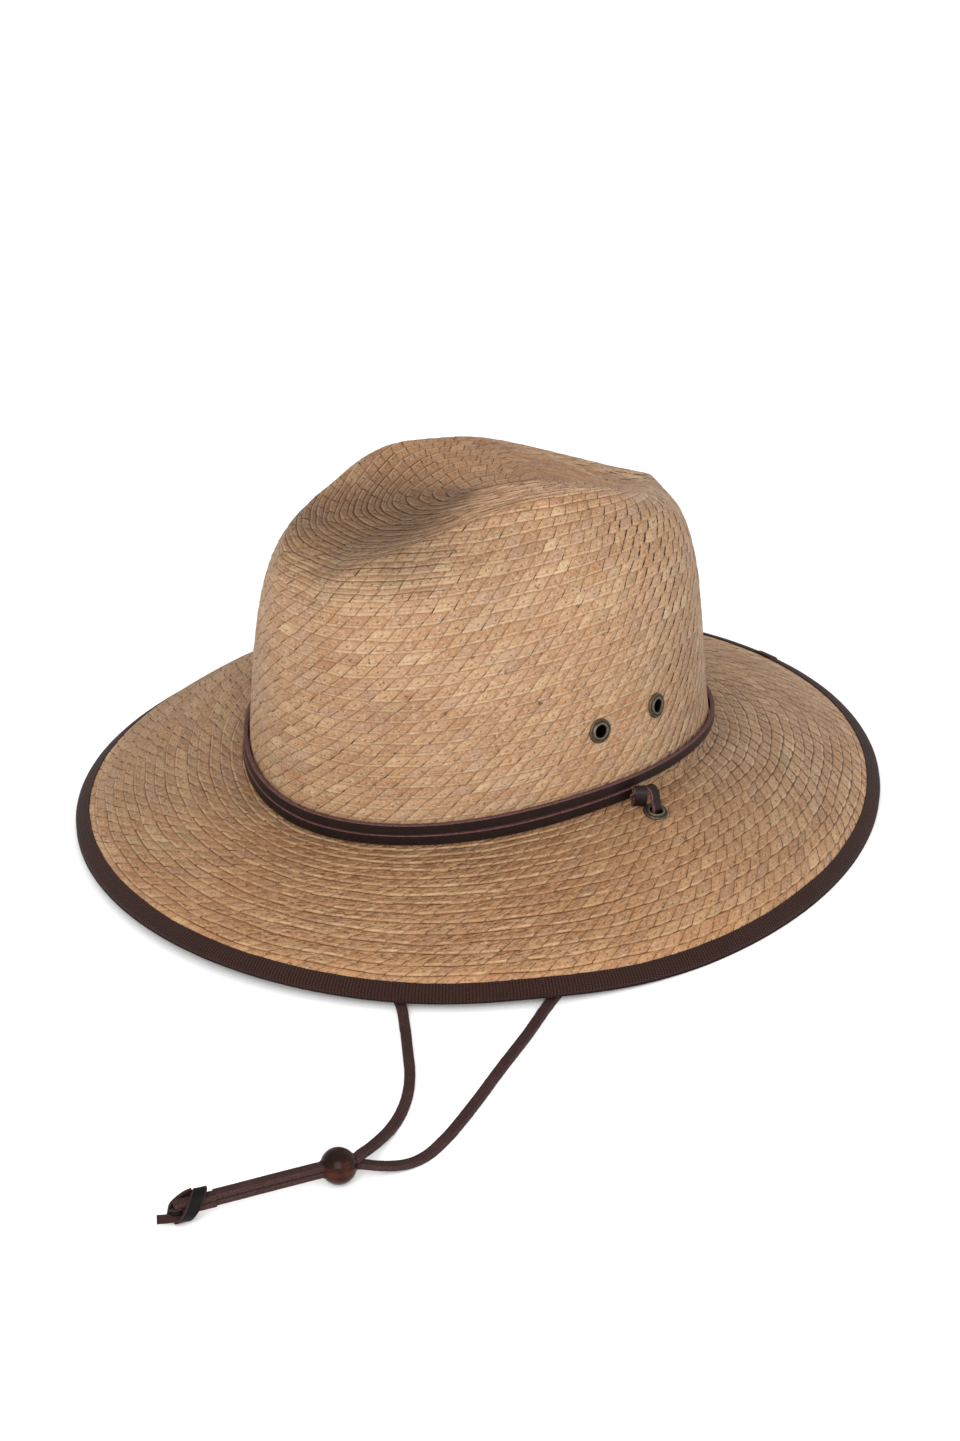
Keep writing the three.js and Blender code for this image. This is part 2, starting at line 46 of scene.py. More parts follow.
# ------------------------------------------------------------------ camera
# Aimed at the middle of the crown's foot, from the front left of the hat.
AZ, EL, DIST, LENS = math.radians(45.0), math.radians(28.0), 1.38, 85.19
LACE_TOP_Z = 39.5
back = Vector((math.sin(AZ) * math.cos(EL), -math.cos(AZ) * math.cos(EL), math.sin(EL)))
right = Vector((math.cos(AZ), math.sin(AZ), 0.0))
up = back.cross(right).normalized()
target = Vector((0.0, SHIFT_Y * MM, LACE_TOP_Z * MM))
cam_data = bpy.data.cameras.new("camera")
cam_data.lens = LENS
cam_data.sensor_width = 36.0
cam_data.clip_start = 0.05
camera = bpy.data.objects.new("camera", cam_data)
bpy.context.scene.collection.objects.link(camera)
camera.location = target + back * DIST - right * 0.00081 - up * 0.00445
camera.rotation_euler = Matrix((right, up, back)).transposed().to_euler()
bpy.context.scene.camera = camera


# ------------------------------------------------------------------ helpers
def link(obj):
    bpy.context.scene.collection.objects.link(obj)
    return obj


def mesh_object(name, verts, faces, smooth=True):
    """verts in millimetres, model frame before the Y shift."""
    v = np.asarray(verts, dtype=float).copy()
    v[:, 1] += SHIFT_Y
    me = bpy.data.meshes.new(name)
    me.from_pydata((v * MM).tolist(), [], faces if isinstance(faces, list) else faces.tolist())
    me.update()
    if smooth:
        me.polygons.foreach_set("use_smooth", [True] * len(me.polygons))
    return link(bpy.data.objects.new(name, me))


def set_uv(obj, uv_per_vertex=None, uv_per_loop=None, name="cells"):
    me = obj.data
    layer = me.uv_layers.new(name=name)
    if uv_per_loop is not None:
        layer.data.foreach_set("uv", np.asarray(uv_per_loop, dtype=np.float32).ravel())
        return
    idx = np.empty(len(me.loops), dtype=np.int64)
    me.loops.foreach_get("vertex_index", idx)
    layer.data.foreach_set("uv", np.asarray(uv_per_vertex, dtype=np.float32)[idx].ravel())


def unit(v):
    n = np.linalg.norm(v, axis=-1, keepdims=True)
    return v / np.maximum(n, 1e-12)


# ------------------------------------------------------------------ shape
CROWN_HALF_LENGTH, CROWN_HALF_WIDTH, CROWN_OVAL_POWER = 101.3, 86.9, 1.92
BAND_DEPTH, FILLET, WALL = 10.4, 2.4, 2.0
BRIM_HALF_LENGTH, BRIM_HALF_WIDTH, BRIM_SHIFT_Y, BRIM_EGG = 171.7, 154.6, 2.6, 0.03
EDGE_ABOVE_FOOT, FRONT_LIFT, FOOT_ANGLE = 2.3, 4.4, 78.0
CORD_LIFT = (1.5, 54.0, 11.0)
TIP_Y, TIP_RUN = 14.0, 20.0       # the braid starts as a short straight run

# at (degrees from the front), fold x, y, z over the lace, upright, lean,
# reach, drop
CROWN = np.array([
    (0,   0.0,   -92.5,  90.5,   0.60, 1.2, 8.0,    14.0),
    (18,  15.0,  -92.0,  96.0,   0.62, 2.2, 8.0,    18.0),
    (36,  25.5,  -73.0,  102.6,  0.62, 3.0, 16.0,   18.5),
    (58,  33.5,  -42.0,  106.9,  0.60, 3.1, 22.0,   21.0),
    (80,  38.3,  -14.0,  108.6,  0.52, 3.1, 32.0,   18.0),
    (100, 38.0,  10.0,   104.3,  0.54, 3.6, 33.0,   15.0),
    (122, 35.0,  33.0,   98.1,   0.70, 6.4, 34.0,   8.6),
    (145, 24.0,  58.0,   86.1,   0.75, 9.2, 38.2,   0.5),
    (163, 11.0,  81.8,   77.9,   0.74, 5.4, 23.0,   0.5),
    (180, 0.0,   96.5,   74.0,   0.64, 3.2, 9.5,    0.5)])
CREASE = np.array([(-92.5, 90.5), (-80, 96.0), (-65, 98.8), (-45, 100.0), (-25, 100.5), (0, 97.8),
                   (26, 93.2), (42, 88.7), (56, 83.0), (74, 75.9), (96.5, 74.0)])


def slopes(xs, vs, first, last):
    m = np.empty_like(vs)
    m[1:-1] = (vs[2:] - vs[:-2]) / (xs[2:] - xs[:-2])
    m[0] = (vs[1] - vs[0]) / (xs[1] - xs[0]) if first is None else first
    m[-1] = (vs[-1] - vs[-2]) / (xs[-1] - xs[-2]) if last is None else last
    return m


def cubic(xs, vs, ms, x):
    i = np.clip(np.searchsorted(xs, x, side="right") - 1, 0, len(xs) - 2)
    h = xs[i + 1] - xs[i]
    f = np.clip((x - xs[i]) / h, 0, 1)
    f2, f3 = f * f, f * f * f
    return ((2 * f3 - 3 * f2 + 1) * vs[i] + (f3 - 2 * f2 + f) * h * ms[i]
            + (-2 * f3 + 3 * f2) * vs[i + 1] + (f3 - f2) * h * ms[i + 1])


def crown_row(deg):
    a = np.mod(deg, 360.0)
    side = np.where(a > 180, -1.0, 1.0)
    m = np.where(a > 180, 360 - a, a)
    out = []
    for c in range(1, 8):
        ends = {1: (None, None), 3: (None, 0.0)}.get(c, (0.0, 0.0))
        out.append(cubic(CROWN[:, 0], CROWN[:, c], slopes(CROWN[:, 0], CROWN[:, c], *ends), m))
    out[0] = out[0] * side
    return out


def crease_z(y):
    return cubic(CREASE[:, 0], CREASE[:, 1], slopes(CREASE[:, 0], CREASE[:, 1], None, None), y)


def lace_top(t):
    return LACE_TOP_Z - 5.7 * np.cos(2 * t) + 2.9 * np.cos(t) + 0.3 * np.cos(4 * t)


def crown_oval(t, grow=0.0):
    c, s, n = np.cos(t), np.sin(t), CROWN_OVAL_POWER
    k = (np.abs(c) ** n + np.abs(s) ** n) ** (-1.0 / n)
    return (CROWN_HALF_WIDTH + grow) * s * k, -(CROWN_HALF_LENGTH + grow) * c * k


def foot_lift(t):
    c0 = math.cos(math.radians(FOOT_ANGLE))
    f = (np.cos(t) - c0) / (1 - c0)
    lift = np.where(f > 0, FRONT_LIFT * np.maximum(f, 0) ** 1.15, 0.0)
    deg = np.mod(np.degrees(t) + 180, 360) - 180
    d = (deg - CORD_LIFT[1]) / CORD_LIFT[2]
    return lift + np.where(f > 0, CORD_LIFT[0] * np.exp(-d * d) * np.minimum(1, np.maximum(f, 0) * 4), 0.0)


def brim_edge(t):
    c, s = np.cos(t), np.sin(t)
    return (BRIM_HALF_WIDTH * s * (1 + BRIM_EGG * c), BRIM_SHIFT_Y - BRIM_HALF_LENGTH * c,
            EDGE_ABOVE_FOOT + foot_lift(t))


def brim_point(t, w):
    bx, by = crown_oval(t)
    bz = lace_top(t) - BAND_DEPTH
    ex, ey, ez = brim_edge(t)
    return np.stack([bx + (ex - bx) * w, by + (ey - by) * w, bz + (ez - bz) * w * w], axis=-1)


def crown_lines(t, n_in=60, n_wall=90):
    """(len(t), n, 3) from the braid's start over the fold to the wall's foot."""
    rx, ry, rz, upright, lean, reach, drop = crown_row(np.degrees(t))
    y0 = TIP_Y - TIP_RUN * np.cos(t)
    rise = rz - crease_z(ry)
    f = np.linspace(0, 1, n_in, endpoint=False)[None, :]
    x = rx[:, None] * f
    y = y0[:, None] + (ry - y0)[:, None] * f
    soft = 0.18
    g = (np.sqrt(f * f + soft * soft) - soft) / (math.sqrt(1 + soft * soft) - soft)
    z = LACE_TOP_Z + crease_z(y) + rise[:, None] * g
    inner = np.stack([x, y, z], axis=-1)
    bx, by = crown_oval(t)
    bz = lace_top(t) - BAND_DEPTH + FILLET
    ln = np.hypot(bx, by)
    nx, ny = bx / ln, by / ln
    fold = np.stack([rx, ry, LACE_TOP_Z + rz], axis=-1)
    foot = np.stack([bx, by, bz], axis=-1)
    H = fold[:, 2] - bz
    c1 = np.stack([bx - nx * lean, by - ny * lean, bz + upright * H], axis=-1)
    ox, oy = bx - rx, by - ry
    ol = np.hypot(ox, oy)
    rc = np.minimum(reach, 0.95 * ol)
    c2 = np.stack([rx + ox / ol * rc, ry + oy / ol * rc, fold[:, 2] - drop], axis=-1)
    u = np.linspace(0, 1, n_wall)[None, :, None]
    wall = ((1 - u) ** 3 * fold[:, None] + 3 * (1 - u) ** 2 * u * c2[:, None]
            + 3 * (1 - u) * u * u * c1[:, None] + u ** 3 * foot[:, None])
    return np.concatenate([inner, wall], axis=1)


def brim_lines(t, n=60):
    bx, by = crown_oval(t)
    bz = lace_top(t) - BAND_DEPTH
    ln = np.hypot(bx, by)
    nx, ny = bx / ln, by / ln
    bend = []
    for a in np.radians([0, 18, 36, 54, 72]):
        out, down = FILLET * (1 - math.cos(a)), FILLET * math.sin(a)
        bend.append(np.stack([bx + nx * out, by + ny * out, bz + FILLET - down], axis=-1))
    w = np.linspace(0.045, 1.0, n)
    brim = np.stack([brim_point(t, k) for k in w], axis=1)
    return np.concatenate([np.stack(bend, axis=1), brim], axis=1)


def resample(lines, marks):
    """Points at arc-length fractions marks (len(t), k) along each line."""
    seg = np.linalg.norm(np.diff(lines, axis=1), axis=2)
    cum = np.concatenate([np.zeros((len(lines), 1)), np.cumsum(seg, axis=1)], axis=1)
    out = np.empty(marks.shape + (3,))
    for i in range(len(lines)):
        s = marks[i] * cum[i, -1]
        for c in range(3):
            out[i, :, c] = np.interp(s, cum[i], lines[i, :, c])
    return out, cum[:, -1]


NT = 720                          # columns of the fine surface grid
SUB = 8                           # grid rows for each braid row
CROWN_ROWS, BRIM_ROWS = 38, 17
EVEN_ROWS, PITCH = 12, 4.5        # rows of one pitch above the crown's foot
T = np.arange(NT) * 2 * math.pi / NT


def crown_marks(length):
    """Arc-length fractions of the row grid, from the tip down to the foot."""
    k = np.arange(CROWN_ROWS * SUB + 1) / SUB
    up_rows = CROWN_ROWS - k                       # rows above the foot
    out = np.empty((len(length), len(k)))
    rest = CROWN_ROWS - EVEN_ROWS
    for i, L in enumerate(length):
        extra = (L - CROWN_ROWS * PITCH) / (rest * rest / 2)   # pitch change per row
        q = np.maximum(up_rows - EVEN_ROWS, 0)
        d = up_rows * PITCH + extra * q * q / 2
        out[i] = 1 - d / L
    return np.clip(out, 0, 1)


def surface_grid():
    cl = crown_lines(T)
    _, length = resample(cl, np.zeros((NT, 1)))
    crown, _ = resample(cl, crown_marks(length))
    bl = brim_lines(T)
    marks = np.tile(np.linspace(0, 1, BRIM_ROWS * SUB + 1), (NT, 1))
    brim, _ = resample(bl, marks)
    return np.concatenate([crown, brim[:, 1:]], axis=1)       # (NT, R, 3)


G = surface_grid()
NR = G.shape[1]


def grid_normals(g):
    dt = np.roll(g, -1, axis=0) - np.roll(g, 1, axis=0)
    ds = np.gradient(g, axis=1)
    n = np.cross(ds, dt)
    bad = np.linalg.norm(n, axis=2) < 1e-9
    n = unit(n)
    n[bad] = (0, 0, 1)
    # ease the sharp fold over a few millimetres
    for _ in range(3):
        n = unit(n + 0.5 * (np.roll(n, 1, axis=1) + np.roll(n, -1, axis=1)) * np.array([1.0]))
    return n


NRM = grid_normals(G)
NRM[:, :3] = unit(NRM[:, :3] * 0.2 + np.array([0, 0, 1.0]))
NRM[:, -2:] = NRM[:, -4:-3]


def sample(grid, t, r):
    """Bilinear lookup at angle t (radians) and row r (fractional)."""
    x = np.mod(t / (2 * math.pi), 1.0) * NT
    i0 = np.floor(x).astype(int)
    fx = (x - i0)[..., None]
    i0 %= NT
    i1 = (i0 + 1) % NT
    y = np.clip(r * SUB, 0, NR - 1)
    j0 = np.minimum(np.floor(y).astype(int), NR - 2)
    fy = (y - j0)[..., None]
    return ((grid[i0, j0] * (1 - fx) + grid[i1, j0] * fx) * (1 - fy)
            + (grid[i0, j0 + 1] * (1 - fx) + grid[i1, j0 + 1] * fx) * fy)


def ring_lengths(r):
    """Arc length round the ring at row r, for every column and the last."""
    p = sample(G, T, np.full(NT, float(r)))
    d = np.linalg.norm(np.roll(p, -1, axis=0) - p, axis=1)
    return np.concatenate([[0], np.cumsum(d)])


SLANT = 0.76                      # a cell's lean, as a share of its length
CELL_CROWN, CELL_BRIM = 7.2, 7.6
A0 = 0.13                         # where the cells' edges chain from row to row
TOTAL_ROWS = CROWN_ROWS + BRIM_ROWS

rows = []
phase = 0.0
last_n = None
for j in range(TOTAL_ROWS):
    cum = ring_lengths(j + 0.5)
    size = CELL_CROWN if j < CROWN_ROWS else CELL_BRIM
    n = max(5, int(round(cum[-1] / size)))
    if last_n is not None:
        phase = phase + (n - last_n) * A0 - SLANT + rng.normal(0, 0.05)
    phase %= 1.0
    last_n = n
    rows.append({"n": n, "phase": phase, "cum": cum / cum[-1]})

# Places where eyelets go through the straw: angle, place, radius
EYELETS = [
    ("vent_eyelet_left_front", 79.0, 28.6), ("vent_eyelet_left_rear", 97.0, 28.4),
    ("vent_eyelet_right_front", 281.0, 28.6), ("vent_eyelet_right_rear", 263.0, 28.4)]
CORD_EYELETS = [("brim_eyelet_left", 87.0, 0.198), ("brim_eyelet_right", 273.0, 0.198)]


def wall_seat(deg, above):
    def point(tt, z):
        ln = crown_lines(np.array([tt]), 8, 400)[0][8:]
        k = np.where((ln[:-1, 2] >= z) & (ln[1:, 2] <= z))[0][-1]
        f = (ln[k, 2] - z) / (ln[k, 2] - ln[k + 1, 2])
        return ln[k] * (1 - f) + ln[k + 1] * f
    t, z, e = math.radians(deg), LACE_TOP_Z + above, 0.05
    p = point(t, z)
    n = unit(np.cross(point(t, z + 4) - point(t, z - 4), point(t + e, z) - point(t - e, z)))
    return p, (n if n[0] * p[0] + n[1] * p[1] > 0 else -n)


def brim_seat(deg, out):
    t, e = math.radians(deg), 0.03
    bp = lambda a, w: brim_point(np.array([a]), w)[0]
    p = bp(t, out)
    n = unit(np.cross(bp(t, out + e) - bp(t, out - e), bp(t + e, out) - bp(t - e, out)))
    return p, (n if n[2] > 0 else -n)


SEATS = {name: wall_seat(a, h) for name, a, h in EYELETS}
SEATS.update({name: brim_seat(a, w) for name, a, w in CORD_EYELETS})


def near_seat(p, radius):
    """True for points inside any eyelet's hole."""
    hit = np.zeros(len(p), dtype=bool)
    for q, n in SEATS.values():
        d = p - q
        along = d @ n
        across = np.linalg.norm(d - along[:, None] * n, axis=1)
        hit |= (across < radius) & (np.abs(along) < 8)
    return hit


# ------------------------------------------------------------------ straw
SUBS = np.array([0.0, 0.05, 0.5, 0.95])
# row profile: share down the row, height (mm); the lower edge is a folded lip
RIB_CROWN = [(-0.14, -0.42), (0.06, -0.04), (0.5, 0.15), (0.86, 0.25), (0.98, 0.17), (1.03, -0.13)]
RIB_BRIM = [(-0.14, -0.50), (0.07, -0.09), (0.68, 0.16), (0.80, 0.52), (0.96, 0.48), (1.03, -0.24)]
UNDER = [(0.0, 0.0), (0.95, 0.22), (1.0, -0.02)]
WAVE = []                          # each row edge wanders a little
for j in range(TOTAL_ROWS + 1):
    k = np.arange(1, 15)
    amp = rng.normal(0, 1, 14) / k ** 0.35
    ph = rng.random(14) * 2 * math.pi
    w = (amp[:, None] * np.cos(k[:, None] * (2.0 if j > 8 else 1.0) * T[None] + ph[:, None])).sum(axis=0)
    w *= (0.045 if j < CROWN_ROWS else 0.07) / max(w.std(), 1e-9)
    if j < 3 or j == TOTAL_ROWS:
        w *= 0
    WAVE.append(np.append(w, w[0]))
T1 = np.append(T, 2 * math.pi)


def tone_and_painted_light_at(t, r, p):
    """Red: how light the straw is drawn, its own lightness together with painted
    shade and painted light by place; green: how open its joints are; blue: how
    grey it is. The crown's top and the inner brim are browner."""
    deg = np.degrees(t)
    m = np.where(deg > 180, 360 - deg, deg)
    z = p[:, 2]
    inside = np.clip((13.5 - r) / 5.0, 0, 1) * (r < CROWN_ROWS)
    top = np.clip((z - 118.0) / 26.0, 0, 1)
    lift = 0.12 * np.clip((m - 66) / 20, 0, 1) * np.clip((26 - r) / 8, 0, 1)
    light = np.where(r < CROWN_ROWS, 1.0 - 0.16 * inside - 0.08 * top + lift, 0.0)
    out = np.clip((r - CROWN_ROWS) / BRIM_ROWS, 0, 1)
    brim = 0.83 + 0.05 * out + 0.20 * np.clip((out - 0.80) / 0.16, 0, 1)
    light = np.where(r >= CROWN_ROWS, brim, light)
    side = np.clip((m - 86) / 24, 0, 1)
    # painted shade: the rear half of the hat, turned from the key, is drawn darker
    light = light * (1 - 0.08 * side)
    joints = 0.35 + 0.65 * side
    joints = np.where(r < CROWN_ROWS, np.maximum(joints, 0.8 * inside), np.maximum(joints, 0.6))
    grey = np.clip((m - 80) / 60, 0, 1) * 0.7 * (r > 12)
    grey = np.where((r >= CROWN_ROWS) & (deg <= 180), 2.1 * np.clip((m - 84) / 40, 0, 1), grey)
    # painted light: the rear of the brim is drawn paler
    light = light * (1 + 0.05 * np.clip((m - 94) / 34, 0, 1) * (r >= CROWN_ROWS))
    grey = np.where(r >= CROWN_ROWS, np.maximum(grey, 1.9 * np.clip((np.where(deg > 180, m, -8) + 8) / 40, 0, 1)), grey)
    # painted shade: the near wall of the crease and its front end are drawn darker, as if they lay in shade
    near = np.clip((13.5 - r) / 4.0, 0, 1) * (deg < 150)
    front = np.clip((17 - r) / 4.0, 0, 1) * np.clip((66 - m) / 30, 0, 1)
    light = light * (1 - 0.04 * near) * (1 - 0.42 * front)
    # painted light: the far side of the brim is drawn paler
    light = light * (1 + 0.06 * (deg > 180) * (r >= CROWN_ROWS))
    # painted light: the near ridge beside the crease, on the side towards the camera, is drawn paler
    ridge = np.clip((14.0 - r) / 4.0, 0, 1) * np.clip((deg - 30) / 20, 0, 1) * np.clip((150 - deg) / 30, 0, 1)
    light = light * (1 + 0.42 * ridge)
    # painted light: the rear of the brim is drawn paler still
    light = light * (1 + (0.0 + 0.15 * np.clip((m - 95) / 30, 0, 1)) * np.clip((m - 60) / 30, 0, 1) * (r >= CROWN_ROWS))
    return np.stack([light, joints, grey], axis=1)


def zone_at(t, r, p):
    """Red: the crown's steep sides, where the joints gape and the row edges
    are pressed flat; green: the brim's front, where the weave is crumpled,
    drawn with painted shade and painted highlights; blue: the worn ridge beside
    the crease, where a painted shadow fills the gaps of bunched rows, and on
    the brim the rear, where the cells stand like scales; alpha: the pleated
    front of the crown, drawn with painted shadow lines and painted highlights."""
    deg = np.degrees(t)
    m = np.where(deg > 180, 360 - deg, deg)
    on_crown = r < CROWN_ROWS
    out = np.clip((r - CROWN_ROWS) / BRIM_ROWS, 0, 1)
    flank = np.clip((m - 90) / 16, 0, 1) * np.clip((r - 11) / 4, 0, 1) * on_crown
    weave = np.clip((deg - 2) / 14, 0, 1) * np.clip((80 - deg) / 26, 0, 1) * (1 - np.clip((out - 0.82) / 0.08, 0, 1)) * ~on_crown
    worn = np.clip((12.0 - r) / 4.0, 0, 1) * np.clip((deg - 30) / 20, 0, 1) * np.clip((150 - deg) / 30, 0, 1) * on_crown
    scales = np.clip((m - np.where(deg > 180, 96, 56)) / 24, 0, 1) * ~on_crown
    pleat = np.clip((19.0 - r) / 4, 0, 1) * np.clip((60 - m) / 16, 0, 1) * np.clip((r - 4) / 3, 0, 1) * on_crown
    return np.stack([flank, weave, worn + scales, pleat], axis=1)


def straw_strips(first, last, side):
    """Braid rows as joined strips of slanted cells. side 1 is the outer
    face and -1 the inner one."""
    verts, faces, uvs, tones, zones = [], [], [], [], []
    base = 0
    for j in range(first, last):
        rib = UNDER if side < 0 else (RIB_CROWN if j < CROWN_ROWS else RIB_BRIM)
        row = rows[j]
        n = row["n"]
        if side > 0:
            subs = SUBS
        elif 25 <= j <= 32 or CROWN_ROWS <= j <= CROWN_ROWS + 6:
            subs = np.array([0.0, 0.33, 0.66])       # round the eyelets
        else:
            subs = np.array([0.0, 0.5] if j < CROWN_ROWS else [0.0])
        K = len(subs)
        cell = np.repeat(np.arange(n), K)
        sub = np.tile(subs, n)
        jit = rng.normal(0, 0.075, n)            # joints are not evenly spaced
        lean = rng.normal(0, 0.05, n)
        c = cell + sub
        nxt = (cell + 1) % n
        shift = jit[cell] * (1 - sub) + jit[nxt] * sub
        lean_c = lean[cell] * (1 - sub) + lean[nxt] * sub
        m = n * K
        lift = rng.normal(0, 0.05, n)            # cells are not all one height
        tilt = rng.normal(0.08, 0.10, n)
        edge = np.abs(rng.normal(0, 0.05, n))    # ragged lower edges, never short of the next row
        gap = rng.random(n) ** 2
        ring_base = []
        for v, h in rib:                         # h: height over the smooth shape
            vc = min(v, 1.0)
            a = np.mod((c + shift + (SLANT + lean_c) * (1 - vc) + row["phase"]) / n, 1.0)
            t = np.interp(a, row["cum"], T1)
            wave = np.interp(t, T1, WAVE[j]) * (1 - vc) + np.interp(t, T1, WAVE[j + 1]) * vc
            vv = j + v + wave + (edge[cell] * max(0, v - 0.5) * 2 if 0 < v else 0)
            if side > 0 and v > 0.5:                 # scaled edges on the steep sides
                zn = zone_at(t, np.full(m, j + 0.5), None)
                zig = 0.14 * zn[:, 0] + 0.10 * zn[:, 2] * (j >= CROWN_ROWS)
                vv = vv + zig * ((1 - np.abs(2 * sub - 1)) - 0.45) * (v - 0.5) * 2
            r = np.clip(vv, 0, TOTAL_ROWS)
            p = sample(G, t, r)
            nm = unit(sample(NRM, t, r))
            # at the braid's start the rows are too small for full relief
            full = min(1.0, 0.35 + j / 6.0)
            up_cell = np.where(sub > 0.01, lift[cell] * 0.7 + tilt[cell] * (sub - 0.5), 0)
            up_cell += np.where(sub < 0.01, -0.20 - 0.30 * gap[cell] * (v > 0.4), 0)
            up_cell *= min(1.0, 0.35 + v)
            if v >= 0.98:
                up_cell *= 0.3
            if side > 0 and j < CROWN_ROWS:
                deg = np.degrees(t)
                flat = np.clip((np.where(deg > 180, 360 - deg, deg) - 62) / 30, 0, 1)
                h = h * (1 - 0.45 * flat * (r > 14))
            if side > 0 and j >= TOTAL_ROWS - 2:     # kept under the binding's edge
                h = np.minimum(h, 0.40)
                up_cell = np.minimum(up_cell, 0.0)
            if side > 0 and j >= CROWN_ROWS:
                h = h * (1 - 0.50 * zone_at(t, np.full(m, j + 0.5), None)[:, 2])
            d = full * (h + up_cell) if side > 0 else -(WALL - 0.25) - (h + 0.5 * up_cell)
            tones.append(tone_and_painted_light_at(t, np.full(m, j + vc * 0.98), p))
            zones.append(zone_at(t, np.full(m, j + vc * 0.98), p))
            verts.append(p + nm * np.asarray(d)[:, None])
            uvs.append(np.stack([c, np.full(m, j + min(max(v, 0.001), 0.999))], axis=1))
            ring_base.append(base)
            base += m
        k0 = np.arange(m)
        k1 = (k0 + 1) % m
        for q in range(len(rib) - 1):
            a, b = ring_base[q], ring_base[q + 1]
            if side > 0:
                faces.append(np.stack([a + k0, b + k0, b + k1, a + k1], axis=1))
            else:
                faces.append(np.stack([a + k0, a + k1, b + k1, b + k0], axis=1))
    V = np.concatenate(verts)
    F = np.concatenate(faces)
    UV = np.concatenate(uvs)
    TN = np.concatenate(tones)
    ZN = np.concatenate(zones)
    mid = V[F].mean(axis=1)
    F = F[~near_seat(mid, 3.2 if first < CROWN_ROWS else 2.4)]
    for q, axis in SEATS.values():               # the holes' rims are round
        d = V - q
        along = d @ axis
        off = d - along[:, None] * axis
        far = np.linalg.norm(off, axis=1)
        hit = (far < 3.3) & (far > 1e-6) & (np.abs(along) < 8)
        V[hit] = q + along[hit, None] * axis + off[hit] / far[hit, None] * 3.3
    # a cell's last face runs to the next cell's start: keep its own number
    U = UV[F]
    wrap = U[:, :, 0].max(axis=1) - U[:, :, 0].min(axis=1) > 2
    lo = U[:, :, 0] < 2
    rest = 1 - subs[-1]
    U[:, :, 0] = np.where(wrap[:, None] & lo, U[:, :, 0].max(axis=1)[:, None] + rest, U[:, :, 0])
    return V, F, U.reshape(-1, 2), TN, ZN


def nodes_of(name):
    mat = bpy.data.materials.new(name)
    mat.use_nodes = True
    nt = mat.node_tree
    for nd in list(nt.nodes):
        nt.nodes.remove(nd)
    out = nt.nodes.new("ShaderNodeOutputMaterial")
    bsdf = nt.nodes.new("ShaderNodeBsdfPrincipled")
    nt.links.new(bsdf.outputs["BSDF"], out.inputs["Surface"])
    return mat, nt, bsdf


class Graph:
    """Short names for building node graphs."""

    def __init__(self, nt):
        self.nt = nt

    def _in(self, node, i, value):
        if value is None:
            return
        sock = node.inputs[i]
        if isinstance(value, bpy.types.NodeSocket):
            self.nt.links.new(value, sock)
        else:
            sock.default_value = value

    def math(self, op, a, b=None, c=None, clamp=False):
        n = self.nt.nodes.new("ShaderNodeMath")
        n.operation = op
        n.use_clamp = clamp
        for i, x in enumerate((a, b, c)):
            self._in(n, i, x)
        return n.outputs[0]

    def mix(self, fac, a, b, blend="MIX"):
        n = self.nt.nodes.new("ShaderNodeMix")
        n.data_type = "RGBA"
        n.blend_type = blend
        n.clamp_factor = True
        self._in(n, 0, fac)
        self._in(n, 6, a)
        self._in(n, 7, b)
        return n.outputs[2]

    def uv(self, name):
        n = self.nt.nodes.new("ShaderNodeUVMap")
        n.uv_map = name
        return n.outputs[0]

    def obj(self):
        return self.nt.nodes.new("ShaderNodeTexCoord").outputs["Object"]

    def split(self, v):
        n = self.nt.nodes.new("ShaderNodeSeparateXYZ")
        self._in(n, 0, v)
        return n.outputs[0], n.outputs[1], n.outputs[2]

    def join(self, x, y, z=0.0):
        n = self.nt.nodes.new("ShaderNodeCombineXYZ")
        for i, s in enumerate((x, y, z)):
            self._in(n, i, s)
        return n.outputs[0]

    def vmul(self, v, k):
        n = self.nt.nodes.new("ShaderNodeVectorMath")
        n.operation = "MULTIPLY"
        self._in(n, 0, v)
        self._in(n, 1, k)
        return n.outputs[0]

    def noise(self, v, scale, detail=2.0, rough=0.5, distortion=0.0):
        n = self.nt.nodes.new("ShaderNodeTexNoise")
        self._in(n, "Vector", v)
        n.inputs["Scale"].default_value = scale
        n.inputs["Detail"].default_value = detail
        n.inputs["Roughness"].default_value = rough
        n.inputs["Distortion"].default_value = distortion
        return n.outputs[0]

    def white(self, v):
        n = self.nt.nodes.new("ShaderNodeTexWhiteNoise")
        n.noise_dimensions = "3D"
        self._in(n, "Vector", v)
        return n.outputs["Value"], n.outputs["Color"]

    def voronoi(self, v, scale):
        n = self.nt.nodes.new("ShaderNodeTexVoronoi")
        self._in(n, "Vector", v)
        n.inputs["Scale"].default_value = scale
        return n.outputs["Distance"]

    def ramp(self, fac, stops):
        n = self.nt.nodes.new("ShaderNodeValToRGB")
        self._in(n, 0, fac)
        el = n.color_ramp.elements
        while len(el) < len(stops):
            el.new(0.5)
        for e, (pos, col) in zip(el, stops):
            e.position = pos
            e.color = (*col, 1.0) if len(col) == 3 else col
        return n.outputs[0]

    def smooth(self, x, lo, hi):
        n = self.nt.nodes.new("ShaderNodeMapRange")
        n.interpolation_type = "SMOOTHSTEP"
        self._in(n, 0, x)
        n.inputs[1].default_value = lo
        n.inputs[2].default_value = hi
        n.inputs[3].default_value = 0.0
        n.inputs[4].default_value = 1.0
        return n.outputs[0]

    def bump(self, height, strength, distance):
        n = self.nt.nodes.new("ShaderNodeBump")
        n.inputs["Strength"].default_value = strength
        n.inputs["Distance"].default_value = distance
        self._in(n, "Height", height)
        return n.outputs[0]


def srgb(r, g, b):
    f = lambda c: (c / 255 / 12.92) if c / 255 <= 0.04045 else ((c / 255 + 0.055) / 1.055) ** 2.4
    return (f(r), f(g), f(b), 1.0)


